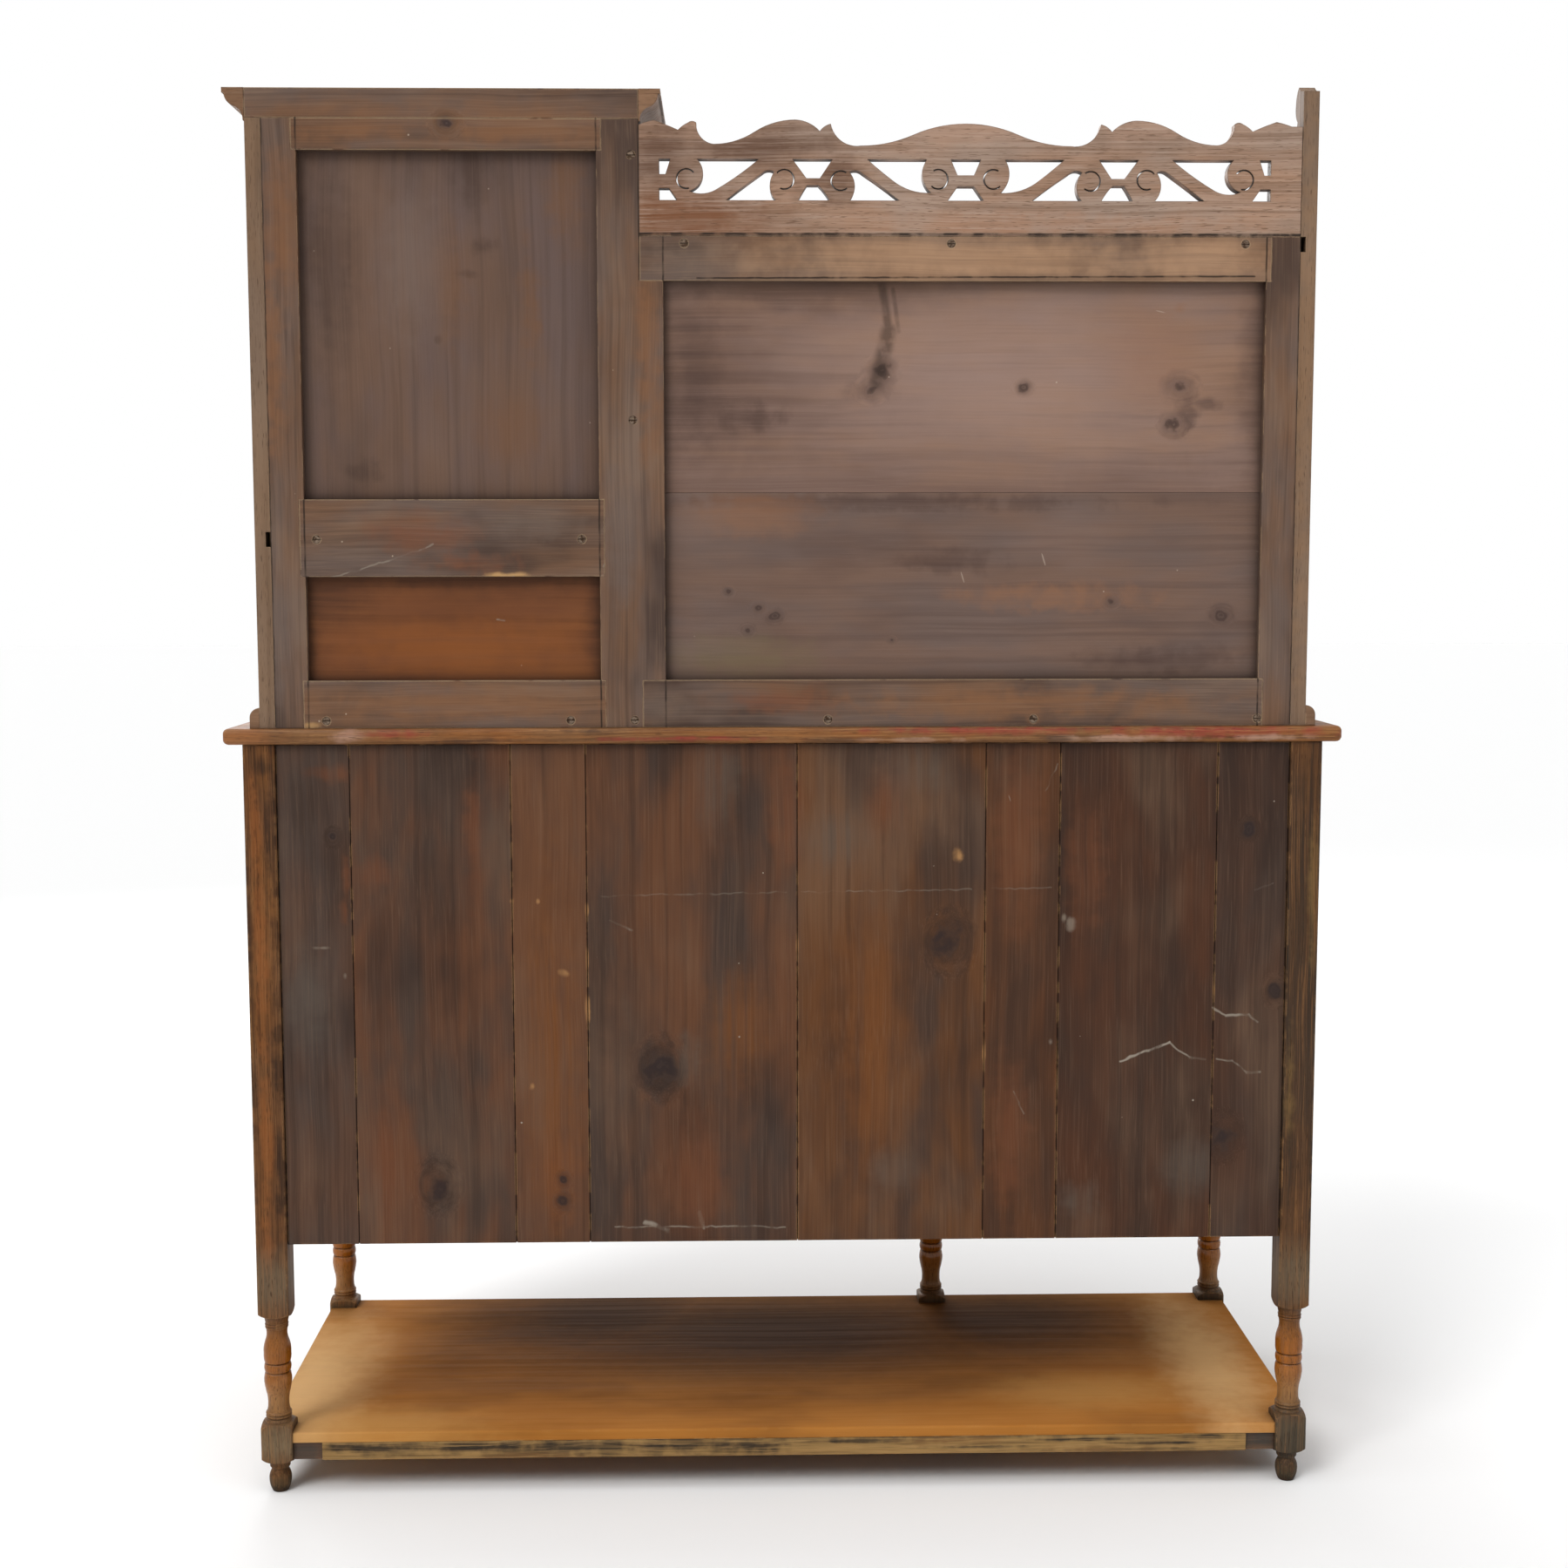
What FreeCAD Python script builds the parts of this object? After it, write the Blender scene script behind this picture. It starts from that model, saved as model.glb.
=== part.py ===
import FreeCAD, Part
import math
import os

# Kitchen dresser in millimetres: X to the right seen from the front, Y to the back, Z up.
# The origin is on the floor, under the middle of the worktop.

V = FreeCAD.Vector
UP = V(0, 0, 1)
BACKWARDS = V(0, 1, 0)

# Worktop
WORKTOP_WIDTH = 1372.0
WORKTOP_DEPTH = 526.0
WORKTOP_HEIGHT = 972.0
WORKTOP_THICKNESS = 20.0
WORKTOP_END_OVERHANG = 23.0
WORKTOP_BACK_OVERHANG = 6.0
WORKTOP_FRONT_OVERHANG = 20.0
WORKTOP_EDGE_ROUND = 7.0

# Legs
LEG_SIZE = 39.0
LEG_CHAMFER = 1.5
FOOT_HEIGHT = 40.0
BLOCK_HEIGHT = 52.0
TURNING_HEIGHT = 137.0
SHOULDER_HEIGHT = 9.0
NARROW_BAY_WIDTH = 377.5

# Each ring: height share of the stretch, radius share of half a leg, bulge share of half a leg
FOOT_SHARES = (
    (0.00, 0.52, 0.00), (0.38, 0.72, 0.05), (0.68, 0.56, 0.05), (0.74, 0.54, 0.00),
    (0.82, 0.66, 0.03), (1.00, 0.74, -0.03),
)
TURNING_SHARES = (
    (0.000, 0.86, 0.00), (0.030, 0.76, 0.00), (0.060, 0.78, 0.06), (0.090, 0.76, 0.06),
    (0.150, 0.68, -0.02), (0.250, 0.72, -0.02), (0.375, 0.89, 0.02), (0.455, 0.83, 0.02),
    (0.465, 0.76, 0.00), (0.475, 0.83, 0.00), (0.545, 0.83, 0.04), (0.555, 0.76, 0.00),
    (0.565, 0.84, 0.00), (0.640, 0.88, 0.02), (0.760, 0.77, 0.04), (0.840, 0.66, -0.03),
    (0.880, 0.69, 0.00), (0.905, 0.70, 0.05), (0.930, 0.71, 0.05), (0.960, 0.76, 0.00),
    (1.000, 0.86, -0.02),
)
SHOULDER_START_SHARE = 0.84
SHOULDER_END_SHARE = 1.45
SHOULDER_BULGE_SHARE = 0.16

# Joints in the wood
TENON_LENGTH = 16.0
TENON_SHARE = 0.4
HOUSING_DEPTH = 6.0
PANEL_GROOVE = 8.0

# Base carcass
CARCASS_BOTTOM = 324.0
FRONT_TOP_RAIL = 22.0
FRONT_MIDDLE_RAIL = 24.0
FRONT_BOTTOM_RAIL = 32.0
BOTTOM_RAIL_THICKNESS = 22.0
DRAWER_OPENING = 140.0
END_RAIL_THICKNESS = 22.0
END_RAIL_INSET = 6.0
END_TOP_RAIL = 70.0
END_BOTTOM_RAIL = 60.0
END_PANEL_THICKNESS = 10.0
BASE_BACK_RAIL = 60.0
BASE_BACK_RAIL_THICKNESS = 20.0
FLOOR_THICKNESS = 18.0
PARTITION_THICKNESS = 18.0
RUNNER_REACH = 22.0
GUIDE_HEIGHT = 20.0
SHELF_RISE = 200.0
SHELF_THICKNESS = 16.0
SHELF_SETBACK = 63.0
CLEAT_HEIGHT = 20.0
CLEAT_WIDTH = 20.0

# Back boards of the base, tongued and grooved; widths from the cupboard end as shares of the back
BACK_BOARD_THICKNESS = 12.0
BACK_BOARD_RECESS = 4.0
BACK_BOARD_GAP = 0.8
BOARD_TONGUE = 5.0
BOARD_TONGUE_PLAY = 0.5
BOARD_TONGUE_SHARE = 0.34
BOARD_WIDTH_SHARES = (0.0718, 0.1576, 0.0738, 0.2084, 0.1868, 0.0737, 0.1564, 0.0715)

# Pot board near the floor
POT_BOARD_TOP = 80.0
POT_BOARD_THICKNESS = 13.0
POT_BOARD_INSET = 3.0
POT_BOARD_ROUND = 3.0
POT_RAIL_HEIGHT = 23.0
POT_RAIL_THICKNESS = 20.0
BATTEN_THICKNESS = 4.0
BATTEN_END_GAP = 37.0

# Upper part, standing on the worktop
UPPER_END_SETBACK = 45.0
SIDE_THICKNESS = 19.0
CUPBOARD_WIDTH = 467.0
CUPBOARD_DEPTH = 240.0
FRAME_THICKNESS = 20.0
BACK_PANEL_THICKNESS = 8.0
BACK_PANEL_RECESS = 10.0
BACK_STILE = 41.0
MUNTIN_WIDTH = 79.0
MUNTIN_LAP = 28.0
LAP_SHARE = 0.5
RAIL_STEP = 6.0
BACK_BOTTOM_RAIL = 58.0
NICHE_PANEL = 126.0
BACK_MIDDLE_RAIL = 93.0
CUPBOARD_PANEL = 412.0
BACK_TOP_RAIL = 37.0
OPEN_PANEL = 479.0
OPEN_PANEL_JOINT_SHARE = 0.474
OPEN_TOP_RAIL = 53.0
UPPER_BOARD_THICKNESS = 18.0
CUPBOARD_FLOOR_RISE = 220.0
CUPBOARD_SHELF_RISE = 215.0
CUPBOARD_SHELF_SETBACK = 40.0
FRIEZE_HEIGHT = 38.0
DISPLAY_SHELF_DEPTH = 160.0
BEAD_PROJECTION = 12.0
BEAD_HEIGHT = 25.0

# Cornice round the tall cupboard
CORNICE_RISE = 35.0
CORNICE_HEIGHT = 38.0
CORNICE_PROJECTION = 26.0
CORNICE_LIP_SHARE = 0.16
CORNICE_FILLET_SHARE = 0.10
CORNICE_TOE_SHARE = 0.06

# Shaped end upright: depths from the back, heights from the worktop
UPRIGHT_HEIGHT = 761.0
UPRIGHT_HORN = 9.0
UPRIGHT_TOP_DEPTH = 37.0
UPRIGHT_SHELF_NOSE = 12.0
UPRIGHT_WAIST_DEPTH = 104.0
UPRIGHT_FOOT_HEIGHT = 46.0
UPRIGHT_FOOT_CURVE = 204.0
UPRIGHT_NOSE_CURVE = 126.0
UPRIGHT_NOSE_MARGIN = 12.0
UPRIGHT_NECK_DROP = 45.0
UPRIGHT_NOTCH_DROP = 31.0
UPRIGHT_TIP_DROP = 9.0
UPRIGHT_NOTCH_SHARE = 0.76
UPRIGHT_NECK_SHARE = 1.2
UPRIGHT_HORN_SHARE = 0.65

# Pierced gallery over the display shelf
GALLERY_PLAIN_END = 14.0
GALLERY_HEIGHT = 136.0
GALLERY_THICKNESS = 16.0
GALLERY_END_GAP = 0.6
FRET_FOOT = 41.5
FRET_HEIGHT = 48.0
KERF_WIDTH = 1.5
KERF_RADIUS = 11.4

# Cresting from the middle outwards: along shares of half the gallery, height shares of its height
CREST_SHARES = {
    "middle": (0.000, 0.967), "valley": (0.322, 0.776), "rise": (0.386, 0.826), "leaf": (0.414, 0.963),
    "leaf_back": (0.433, 0.940), "cusp": (0.4475, 0.900), "shoulder": (0.478, 0.965), "crest": (0.522, 0.997),
    "outer_valley": (0.772, 0.787), "outer_rise": (0.807, 0.835), "outer_leaf": (0.824, 0.968),
    "outer_leaf_top": (0.837, 0.982), "outer_leaf_back": (0.849, 0.970), "outer_fall": (0.867, 0.940),
    "outer_cusp": (0.880, 0.907), "end_rise": (0.913, 0.947), "end_hump": (0.953, 0.989),
    "end_fall": (0.978, 0.972), "end": (1.000, 0.950),
}
# Openings on one side: a point ends a straight edge, a pair of points is an arc through the first
FRET_SHARES = (
    ((0.120, 1.00), (0.302, 1.00), ((0.264, 0.74), (0.226, 0.50)), ((0.168, 0.25), (0.107, 0.19)),
     ((0.1335, 0.61), (0.120, 1.00))),
    ((0.204, 0.00), (0.356, 0.00), ((0.340, 0.34), (0.357, 0.69)), ((0.338, 0.73), (0.318, 0.66)),
     ((0.260, 0.34), (0.204, 0.00))),
    ((0.634, 1.00), (0.823, 1.00), ((0.805, 0.59), (0.847, 0.22)), ((0.808, 0.16), (0.767, 0.25)),
     ((0.704, 0.57), (0.634, 1.00))),
    ((0.583, 0.00), (0.734, 0.00), ((0.672, 0.38), (0.620, 0.68)), ((0.604, 0.73), (0.587, 0.69)),
     ((0.6005, 0.34), (0.583, 0.00))),
    ((0.409, 1.00), (0.531, 1.00), (0.4885, 0.54), (0.4475, 0.54)),
    ((0.4525, 0.37), (0.486, 0.37), ((0.501, 0.18), (0.513, 0.00)), (0.418, 0.00),
     ((0.432, 0.18), (0.4525, 0.37))),
    ((0.904, 1.00), (0.9385, 1.00), (0.9385, 0.63), (0.919, 0.63)),
    ((0.908, 0.29), (0.9385, 0.29), (0.9385, 0.00), (0.8835, 0.00)),
)
FRET_MIDDLE_SHARES = (
    ((-0.046, 1.00), (0.046, 1.00), (0.0255, 0.62), (-0.0255, 0.62)),
    ((-0.0245, 0.35), (0.0245, 0.35), (0.055, 0.00), (-0.055, 0.00)),
)
# Saw kerfs that curl round the scrolls: middle as shares, start angle and sweep in degrees
KERF_SHARES = ((0.0845, 0.52), (0.3835, 0.48), (0.5560, 0.51), (0.8555, 0.52))
KERF_TURNS = ((-45.0, -255.0), (125.0, -255.0), (40.0, 255.0), (-105.0, 245.0))

# Screws in the back: shares along the row that they follow
SCREW_HEAD_RADIUS = 5.0
SCREW_HEAD_DEPTH = 2.5
SCREW_SHANK_RADIUS = 2.2
SCREW_LENGTH = 45.0
SCREW_PLAY = 0.05
SCREW_SINK = 0.6
SCREW_SLOT_WIDTH = 1.3
SCREW_SLOT_DEPTH = 1.3
BOTTOM_SCREW_SHARES = (0.033, 0.255, 0.458, 0.648, 0.711, 0.950)
SHELF_SCREW_SHARES = (0.084, 0.530, 0.933)
FLOOR_SCREW_SHARES = (0.162, 0.877)
SIDE_SCREW_SHARES = (0.512, 0.942)

# Doors
DOOR_THICKNESS = 20.0
DOOR_GAP = 1.6
DOOR_STILE = 52.0
DOOR_PANEL_EDGE = 6.0
DOOR_PANEL_FIELD = 9.0
DOOR_FIELD_MARGIN = 26.0
HINGE_SHARES = (0.17, 0.83)
HINGE_HEIGHT = 50.0
HINGE_LEAF = 20.0
LEAF_THICKNESS = 1.3
LEAF_PLAY = 0.3
KNUCKLE_RADIUS = 3.0
KNUCKLE_CLEARANCE = 0.4
KNUCKLE_GAP = 0.3
PIN_RADIUS = 1.5
PIN_PLAY = 0.05

# Knobs, turning catches and the bolt
KNOB_LENGTH = 18.0
KNOB_HEIGHT_SHARE = 0.56
KNOB_LIFT = 0.3
SPINDLE_RADIUS = 4.0
SPINDLE_PLAY = 0.08
SPINDLE_SQUARE = 5.0
CATCH_GAP = 0.5
CATCH_THICKNESS = 4.0
CATCH_WIDTH = 10.0
CATCH_LENGTH = 39.0
CATCH_TAIL = 7.0
POCKET_PLAY = 1.5
BOLT_RADIUS = 3.0
BOLT_PLAY = 0.08
BOLT_HOLE_PLAY = 1.0
BOLT_TRAVEL = 14.0
BOLT_LENGTH = 66.0
BOLT_DROP = 1.0
BOLT_INSET = 26.0
BOLT_PLATE = 2.0
SLEEVE_HEIGHT = 14.0
SLEEVE_WIDTH = 14.0
THUMB_REACH = 9.0
THUMB_PLAY = 0.5
# Knob profile: along shares of its length from the tip, radius shares of its length
KNOB_SHARES = (
    (0.00, 0.16, 0.00), (0.10, 0.56, 0.03), (0.34, 0.76, 0.03), (0.52, 0.62, 0.03),
    (0.70, 0.32, -0.04), (0.86, 0.40, -0.02), (0.86, 0.56, 0.00), (1.00, 0.60, 0.00),
)

# Drawers
DRAWER_GAP = 1.5
DRAWER_PLAY = 0.3
DRAWER_BACK_ROOM = 64.0
DRAWER_FRONT = 18.0
DRAWER_SIDE = 11.0
DRAWER_BOTTOM = 8.0
DRAWER_BOTTOM_RISE = 10.0
DRAWER_GROOVE = 5.0
DRAWER_TOP_ROOM = 14.0
DRAWER_CHAMFER = 2.0
TAIL_LENGTH = 12.0
TAIL_COUNT = 3
TAIL_ROOT_SHARE = 0.36
TAIL_END_SHARE = 0.52
LONG_DRAWER_KNOB_SHARES = (0.22, 0.78)
SHORT_DRAWER_KNOB_SHARES = (0.5,)

# Planes that the sizes above give
half_width = WORKTOP_WIDTH / 2
leg_out = half_width - WORKTOP_END_OVERHANG
leg_in = leg_out - LEG_SIZE
back_y = WORKTOP_DEPTH / 2 - WORKTOP_BACK_OVERHANG
front_y = WORKTOP_FRONT_OVERHANG - WORKTOP_DEPTH / 2
carcass_top = WORKTOP_HEIGHT - WORKTOP_THICKNESS
block_top = FOOT_HEIGHT + BLOCK_HEIGHT
post_bottom = block_top + TURNING_HEIGHT
drawer_high = carcass_top - FRONT_TOP_RAIL
drawer_low = drawer_high - DRAWER_OPENING
door_high = drawer_low - FRONT_MIDDLE_RAIL
door_low = CARCASS_BOTTOM + FRONT_BOTTOM_RAIL
end_out = leg_out - END_RAIL_INSET
end_in = end_out - END_RAIL_THICKNESS
end_panel_in = (end_in + end_out - END_PANEL_THICKNESS) / 2
board_back = back_y - BACK_BOARD_RECESS
board_front = board_back - BACK_BOARD_THICKNESS

left_x = (-leg_out, -leg_in)
right_x = (leg_in, leg_out)
middle_x = (NARROW_BAY_WIDTH - leg_in, NARROW_BAY_WIDTH - leg_in + LEG_SIZE)
front_leg_y = (front_y, front_y + LEG_SIZE)
back_leg_y = (back_y - LEG_SIZE, back_y)
between_legs_y = (front_leg_y[1], back_leg_y[0])
narrow_bay = (left_x[1], middle_x[0])
wide_bay = (middle_x[1], right_x[0])
middle_leg_x = (middle_x[0] + middle_x[1]) / 2
partition_x = (middle_leg_x - PARTITION_THICKNESS / 2, middle_leg_x + PARTITION_THICKNESS / 2)

upper_out = half_width - UPPER_END_SETBACK
upper_in = upper_out - SIDE_THICKNESS
cupboard_x = upper_out - CUPBOARD_WIDTH
cupboard_bay = (cupboard_x + SIDE_THICKNESS, upper_in)
upper_front = back_y - CUPBOARD_DEPTH
frame_y = (back_y - FRAME_THICKNESS, back_y)
upper_y = (upper_front, frame_y[0])
bottom_rail_z = (WORKTOP_HEIGHT, WORKTOP_HEIGHT + BACK_BOTTOM_RAIL)
middle_rail_z = (bottom_rail_z[1] + NICHE_PANEL, bottom_rail_z[1] + NICHE_PANEL + BACK_MIDDLE_RAIL)
top_rail_z = (middle_rail_z[1] + CUPBOARD_PANEL, middle_rail_z[1] + CUPBOARD_PANEL + BACK_TOP_RAIL)
open_rail_z = (bottom_rail_z[1] + OPEN_PANEL, bottom_rail_z[1] + OPEN_PANEL + OPEN_TOP_RAIL)
side_top = top_rail_z[1]
open_top = open_rail_z[1]
cupboard_floor_low = WORKTOP_HEIGHT + CUPBOARD_FLOOR_RISE
cupboard_floor_z = (cupboard_floor_low, cupboard_floor_low + UPPER_BOARD_THICKNESS)
display_shelf_z = (open_top - UPPER_BOARD_THICKNESS, open_top)
upper_board_z = (WORKTOP_HEIGHT, WORKTOP_HEIGHT + UPPER_BOARD_THICKNESS)
muntin_x = (cupboard_x - MUNTIN_LAP, cupboard_x - MUNTIN_LAP + MUNTIN_WIDTH)
stile_in = upper_in - BACK_STILE
gallery_half = (cupboard_x + upper_in - GALLERY_PLAIN_END) / 2
gallery_middle = cupboard_x - gallery_half


# Helpers
def box(x, y, z):
    """Box between the low and high ends of x, y and z."""
    return Part.makeBox(x[1] - x[0], y[1] - y[0], z[1] - z[0], V(x[0], y[0], z[0]))


def cut(shape, tools):
    """The shape without what the tools hold."""
    for tool in tools:
        shape = shape.cut(tool)
    return shape


def middle_share(ends, share):
    """The middle share of a stretch, as low and high ends."""
    spare = (ends[1] - ends[0]) * (1 - share) / 2
    return (ends[0] + spare, ends[1] - spare)


def at_share(ends, share):
    return ends[0] + (ends[1] - ends[0]) * share


def tenoned(x, y, z, along):
    """A rail with a tenon at both ends of the axis that it runs along."""
    ends = [x, y, z]
    tenon = [middle_share(pair, TENON_SHARE) for pair in ends]
    tenon[along] = (ends[along][0] - TENON_LENGTH, ends[along][1] + TENON_LENGTH)
    return box(*ends).fuse(box(*tenon)).removeSplitter()


def mirrored(shape):
    return shape.mirror(V(0, 0, 0), V(1, 0, 0))


def edges_of(place, start, steps):
    """Edges from start: a point ends a line, a pair of points is an arc through the first."""
    edges = []
    here = start
    for step in steps:
        if isinstance(step[0], tuple):
            through, end = step
            edges.append(Part.Arc(place(here), place(through), place(end)).toShape())
        else:
            end = step
            edges.append(Part.LineSegment(place(here), place(end)).toShape())
        here = end
    return edges


def slab(place, start, steps, direction):
    """The closed outline that returns straight to its start, pushed along a direction."""
    closing = () if steps[-1] == start or steps[-1][-1] == start else (start,)
    wire = Part.Wire(edges_of(place, start, tuple(steps) + closing))
    return Part.Face(wire).extrude(direction)


def on_yz(x):
    return lambda point: V(x, point[0], point[1])


def on_xz(y):
    return lambda point: V(point[0], y, point[1])


def on_xy(z):
    return lambda point: V(point[0], point[1], z)


def s_curve(start, end, flat):
    """Two equal arcs from start to end that leave and arrive along the flat axis (0 or 1)."""
    rise = 1 - flat
    half_run = (end[flat] - start[flat]) / 2
    half_rise = (end[rise] - start[rise]) / 2
    radius = (half_run ** 2 + half_rise ** 2) / (2 * abs(half_rise))
    turn = math.atan2(abs(half_rise), abs(half_run))
    run_step = math.copysign(radius * math.sin(turn), half_run)
    rise_step = math.copysign(radius * (1 - math.cos(turn)), half_rise)
    step = (run_step, rise_step) if flat == 0 else (rise_step, run_step)
    middle = ((start[0] + end[0]) / 2, (start[1] + end[1]) / 2)
    first = (start[0] + step[0], start[1] + step[1])
    second = (end[0] - step[0], end[1] - step[1])
    return ((first, middle), (second, end))


def turned(rings, direction):
    """Solid of revolution through (height, radius, bulge) rings, from the origin along a direction."""
    across = V(1, 0, 0)

    def place(point):
        return across * point[0] + direction * point[1]

    steps = []
    last = rings[0]
    for ring in rings[1:]:
        end = (ring[1], ring[0])
        through = ((last[1] + ring[1]) / 2 + ring[2], (last[0] + ring[0]) / 2)
        steps.append((through, end) if ring[2] else end)
        last = ring
    start = (rings[0][1], rings[0][0])
    steps.append((0.0, rings[-1][0]))
    steps.append((0.0, rings[0][0]))
    steps.append(start)
    face = Part.Face(Part.Wire(edges_of(place, start, steps)))
    return face.revolve(V(0, 0, 0), direction, 360)


# Legs: turned feet, square blocks with rounded shoulders, turned stems and square posts
def rings_of(shares, low, height):
    half = LEG_SIZE / 2
    return [(low + share[0] * height, share[1] * half, share[2] * half) for share in shares]


def chamfered_post(z):
    half = LEG_SIZE / 2
    flat = half - LEG_CHAMFER
    corners = ((half, -flat), (half, flat), (flat, half), (-flat, half), (-half, flat), (-half, -flat),
               (-flat, -half))
    return slab(on_xy(z[0]), (flat, -half), corners, UP * (z[1] - z[0]))


def shouldered(z, ends):
    """Square stretch of a leg whose corners are turned away at the given ends."""
    half = LEG_SIZE / 2
    slim = half * SHOULDER_START_SHARE
    full = half * SHOULDER_END_SHARE
    bulge = half * SHOULDER_BULGE_SHARE
    rings = [(z[0], slim if "low" in ends else full, 0)]
    if "low" in ends:
        rings.append((z[0] + SHOULDER_HEIGHT, full, bulge))
    if "high" in ends:
        rings.append((z[1] - SHOULDER_HEIGHT, full, 0))
    rings.append((z[1], slim if "high" in ends else full, bulge if "high" in ends else 0))
    return chamfered_post(z).common(turned(rings, UP))


def make_leg_blank():
    foot = turned(rings_of(FOOT_SHARES, 0, FOOT_HEIGHT), UP)
    block = shouldered((FOOT_HEIGHT, block_top), ("low", "high"))
    stem = turned(rings_of(TURNING_SHARES, block_top, TURNING_HEIGHT), UP)
    post = shouldered((post_bottom, carcass_top), ("low",))
    return foot.fuse([block, stem, post]).removeSplitter()


leg_places = {
    "back_leg_left": (left_x, back_leg_y),
    "back_leg_right": (right_x, back_leg_y),
    "front_leg_left": (left_x, front_leg_y),
    "front_leg_middle": (middle_x, front_leg_y),
    "front_leg_right": (right_x, front_leg_y),
}
leg_squares = [box(x, y, (0, carcass_top)) for x, y in leg_places.values()]


# Base carcass
def make_front_rails():
    rails = []
    for bay in (narrow_bay, wide_bay):
        rails.append(tenoned(bay, front_leg_y, (drawer_high, carcass_top), 0))
        rails.append(tenoned(bay, front_leg_y, (door_high, drawer_low), 0))
        bottom_y = (front_y, front_y + BOTTOM_RAIL_THICKNESS)
        rails.append(tenoned(bay, bottom_y, (CARCASS_BOTTOM, door_low), 0))
    return rails


def make_end_rails():
    x = (end_in, end_out)
    top = tenoned(x, between_legs_y, (carcass_top - END_TOP_RAIL, carcass_top), 1)
    bottom = tenoned(x, between_legs_y, (CARCASS_BOTTOM, CARCASS_BOTTOM + END_BOTTOM_RAIL), 1)
    return [top, bottom, mirrored(top), mirrored(bottom)]


def make_end_panels():
    x = (end_panel_in, end_panel_in + END_PANEL_THICKNESS)
    y = (between_legs_y[0] - PANEL_GROOVE, between_legs_y[1] + PANEL_GROOVE)
    z = (CARCASS_BOTTOM + END_BOTTOM_RAIL - PANEL_GROOVE, carcass_top - END_TOP_RAIL + PANEL_GROOVE)
    panel = box(x, y, z)
    return [panel, mirrored(panel)]


def make_base_back_rail():
    y = (board_front - BASE_BACK_RAIL_THICKNESS, board_front)
    return tenoned((-leg_in, leg_in), y, (carcass_top - BASE_BACK_RAIL, carcass_top), 0)


def make_partition(back_rail):
    z = (door_low - HOUSING_DEPTH, carcass_top)
    return box(partition_x, (front_leg_y[1], board_front), z).cut(back_rail)


def make_floor(partition):
    reach = end_in + HOUSING_DEPTH
    y = (front_y + BOTTOM_RAIL_THICKNESS - HOUSING_DEPTH, board_front)
    floor = box((-reach, reach), y, (door_low - FLOOR_THICKNESS, door_low))
    return cut(floor, leg_squares + [partition])


def make_runners():
    """Drawer runners with a guide along their outer edge."""
    runners = []
    walls = ((-end_in, narrow_bay[0], 1), (partition_x[0], narrow_bay[1], -1),
             (partition_x[1], wide_bay[0], 1), (end_in, wide_bay[1], -1))
    for wall, side, way in walls:
        inner = side + way * RUNNER_REACH
        guide_top = drawer_low + GUIDE_HEIGHT
        corners = ((inner, door_high), (inner, drawer_low), (side, drawer_low), (side, guide_top),
                   (wall, guide_top))
        length = BACKWARDS * (board_front - front_leg_y[1])
        runners.append(cut(slab(on_xz(front_leg_y[1]), (wall, door_high), corners, length), leg_squares))
    return runners


def make_base_shelves():
    z = (door_low + SHELF_RISE, door_low + SHELF_RISE + SHELF_THICKNESS)
    y = (front_y + SHELF_SETBACK, board_front)
    bays = ((-end_panel_in, partition_x[0]), (partition_x[1], end_panel_in))
    return [cut(box(x, y, z), leg_squares) for x in bays]


def make_base_cleats():
    z = (door_low + SHELF_RISE - CLEAT_HEIGHT, door_low + SHELF_RISE)
    end_cleat = box((leg_in, end_panel_in), between_legs_y, z)
    y = (front_y + SHELF_SETBACK, board_front)
    return [end_cleat, mirrored(end_cleat),
            box((partition_x[0] - CLEAT_WIDTH, partition_x[0]), y, z),
            box((partition_x[1], partition_x[1] + CLEAT_WIDTH), y, z)]


def make_back_boards():
    """Tongued and grooved boards from the cupboard end to the open end."""
    boards = []
    edge = leg_in
    y = (board_front, board_back)
    z = (CARCASS_BOTTOM, carcass_top)
    tongue_y = middle_share(y, BOARD_TONGUE_SHARE)
    for number, share in enumerate(BOARD_WIDTH_SHARES, start=1):
        last = number == len(BOARD_WIDTH_SHARES)
        far = -leg_in if last else edge - share * 2 * leg_in
        low = far + BACK_BOARD_GAP / 2
        high = edge - BACK_BOARD_GAP / 2
        board = box((low, high), y, z)
        if not last:
            board = board.fuse(box((low - BOARD_TONGUE, low), tongue_y, z)).removeSplitter()
        if number > 1:
            groove = BOARD_TONGUE - BACK_BOARD_GAP + BOARD_TONGUE_PLAY
            board = board.cut(box((high - groove, high), tongue_y, z))
        boards.append(board)
        edge = far
    return boards


def make_worktop():
    """Board with round nosings at the front and the ends, square along the back."""
    low = carcass_top
    high = WORKTOP_HEIGHT
    r = WORKTOP_EDGE_ROUND
    slack = r * (1 - math.sqrt(0.5))
    front = -WORKTOP_DEPTH / 2
    back = WORKTOP_DEPTH / 2
    steps = ((back, high), (front + r, high), ((front + slack, high - slack), (front, high - r)),
             (front, low + r), ((front + slack, low + slack), (front + r, low)))
    width = V(WORKTOP_WIDTH, 0, 0)
    board = slab(on_yz(-half_width), (back, low), steps, width)
    side = half_width
    steps = ((side - r, low), ((side - slack, low + slack), (side, low + r)), (side, high - r),
             ((side - slack, high - slack), (side - r, high)), (r - side, high),
             ((slack - side, high - slack), (-side, high - r)), (-side, low + r),
             ((slack - side, low + slack), (r - side, low)))
    return board.common(slab(on_xz(front), (r - side, low), steps, BACKWARDS * WORKTOP_DEPTH))


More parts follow.
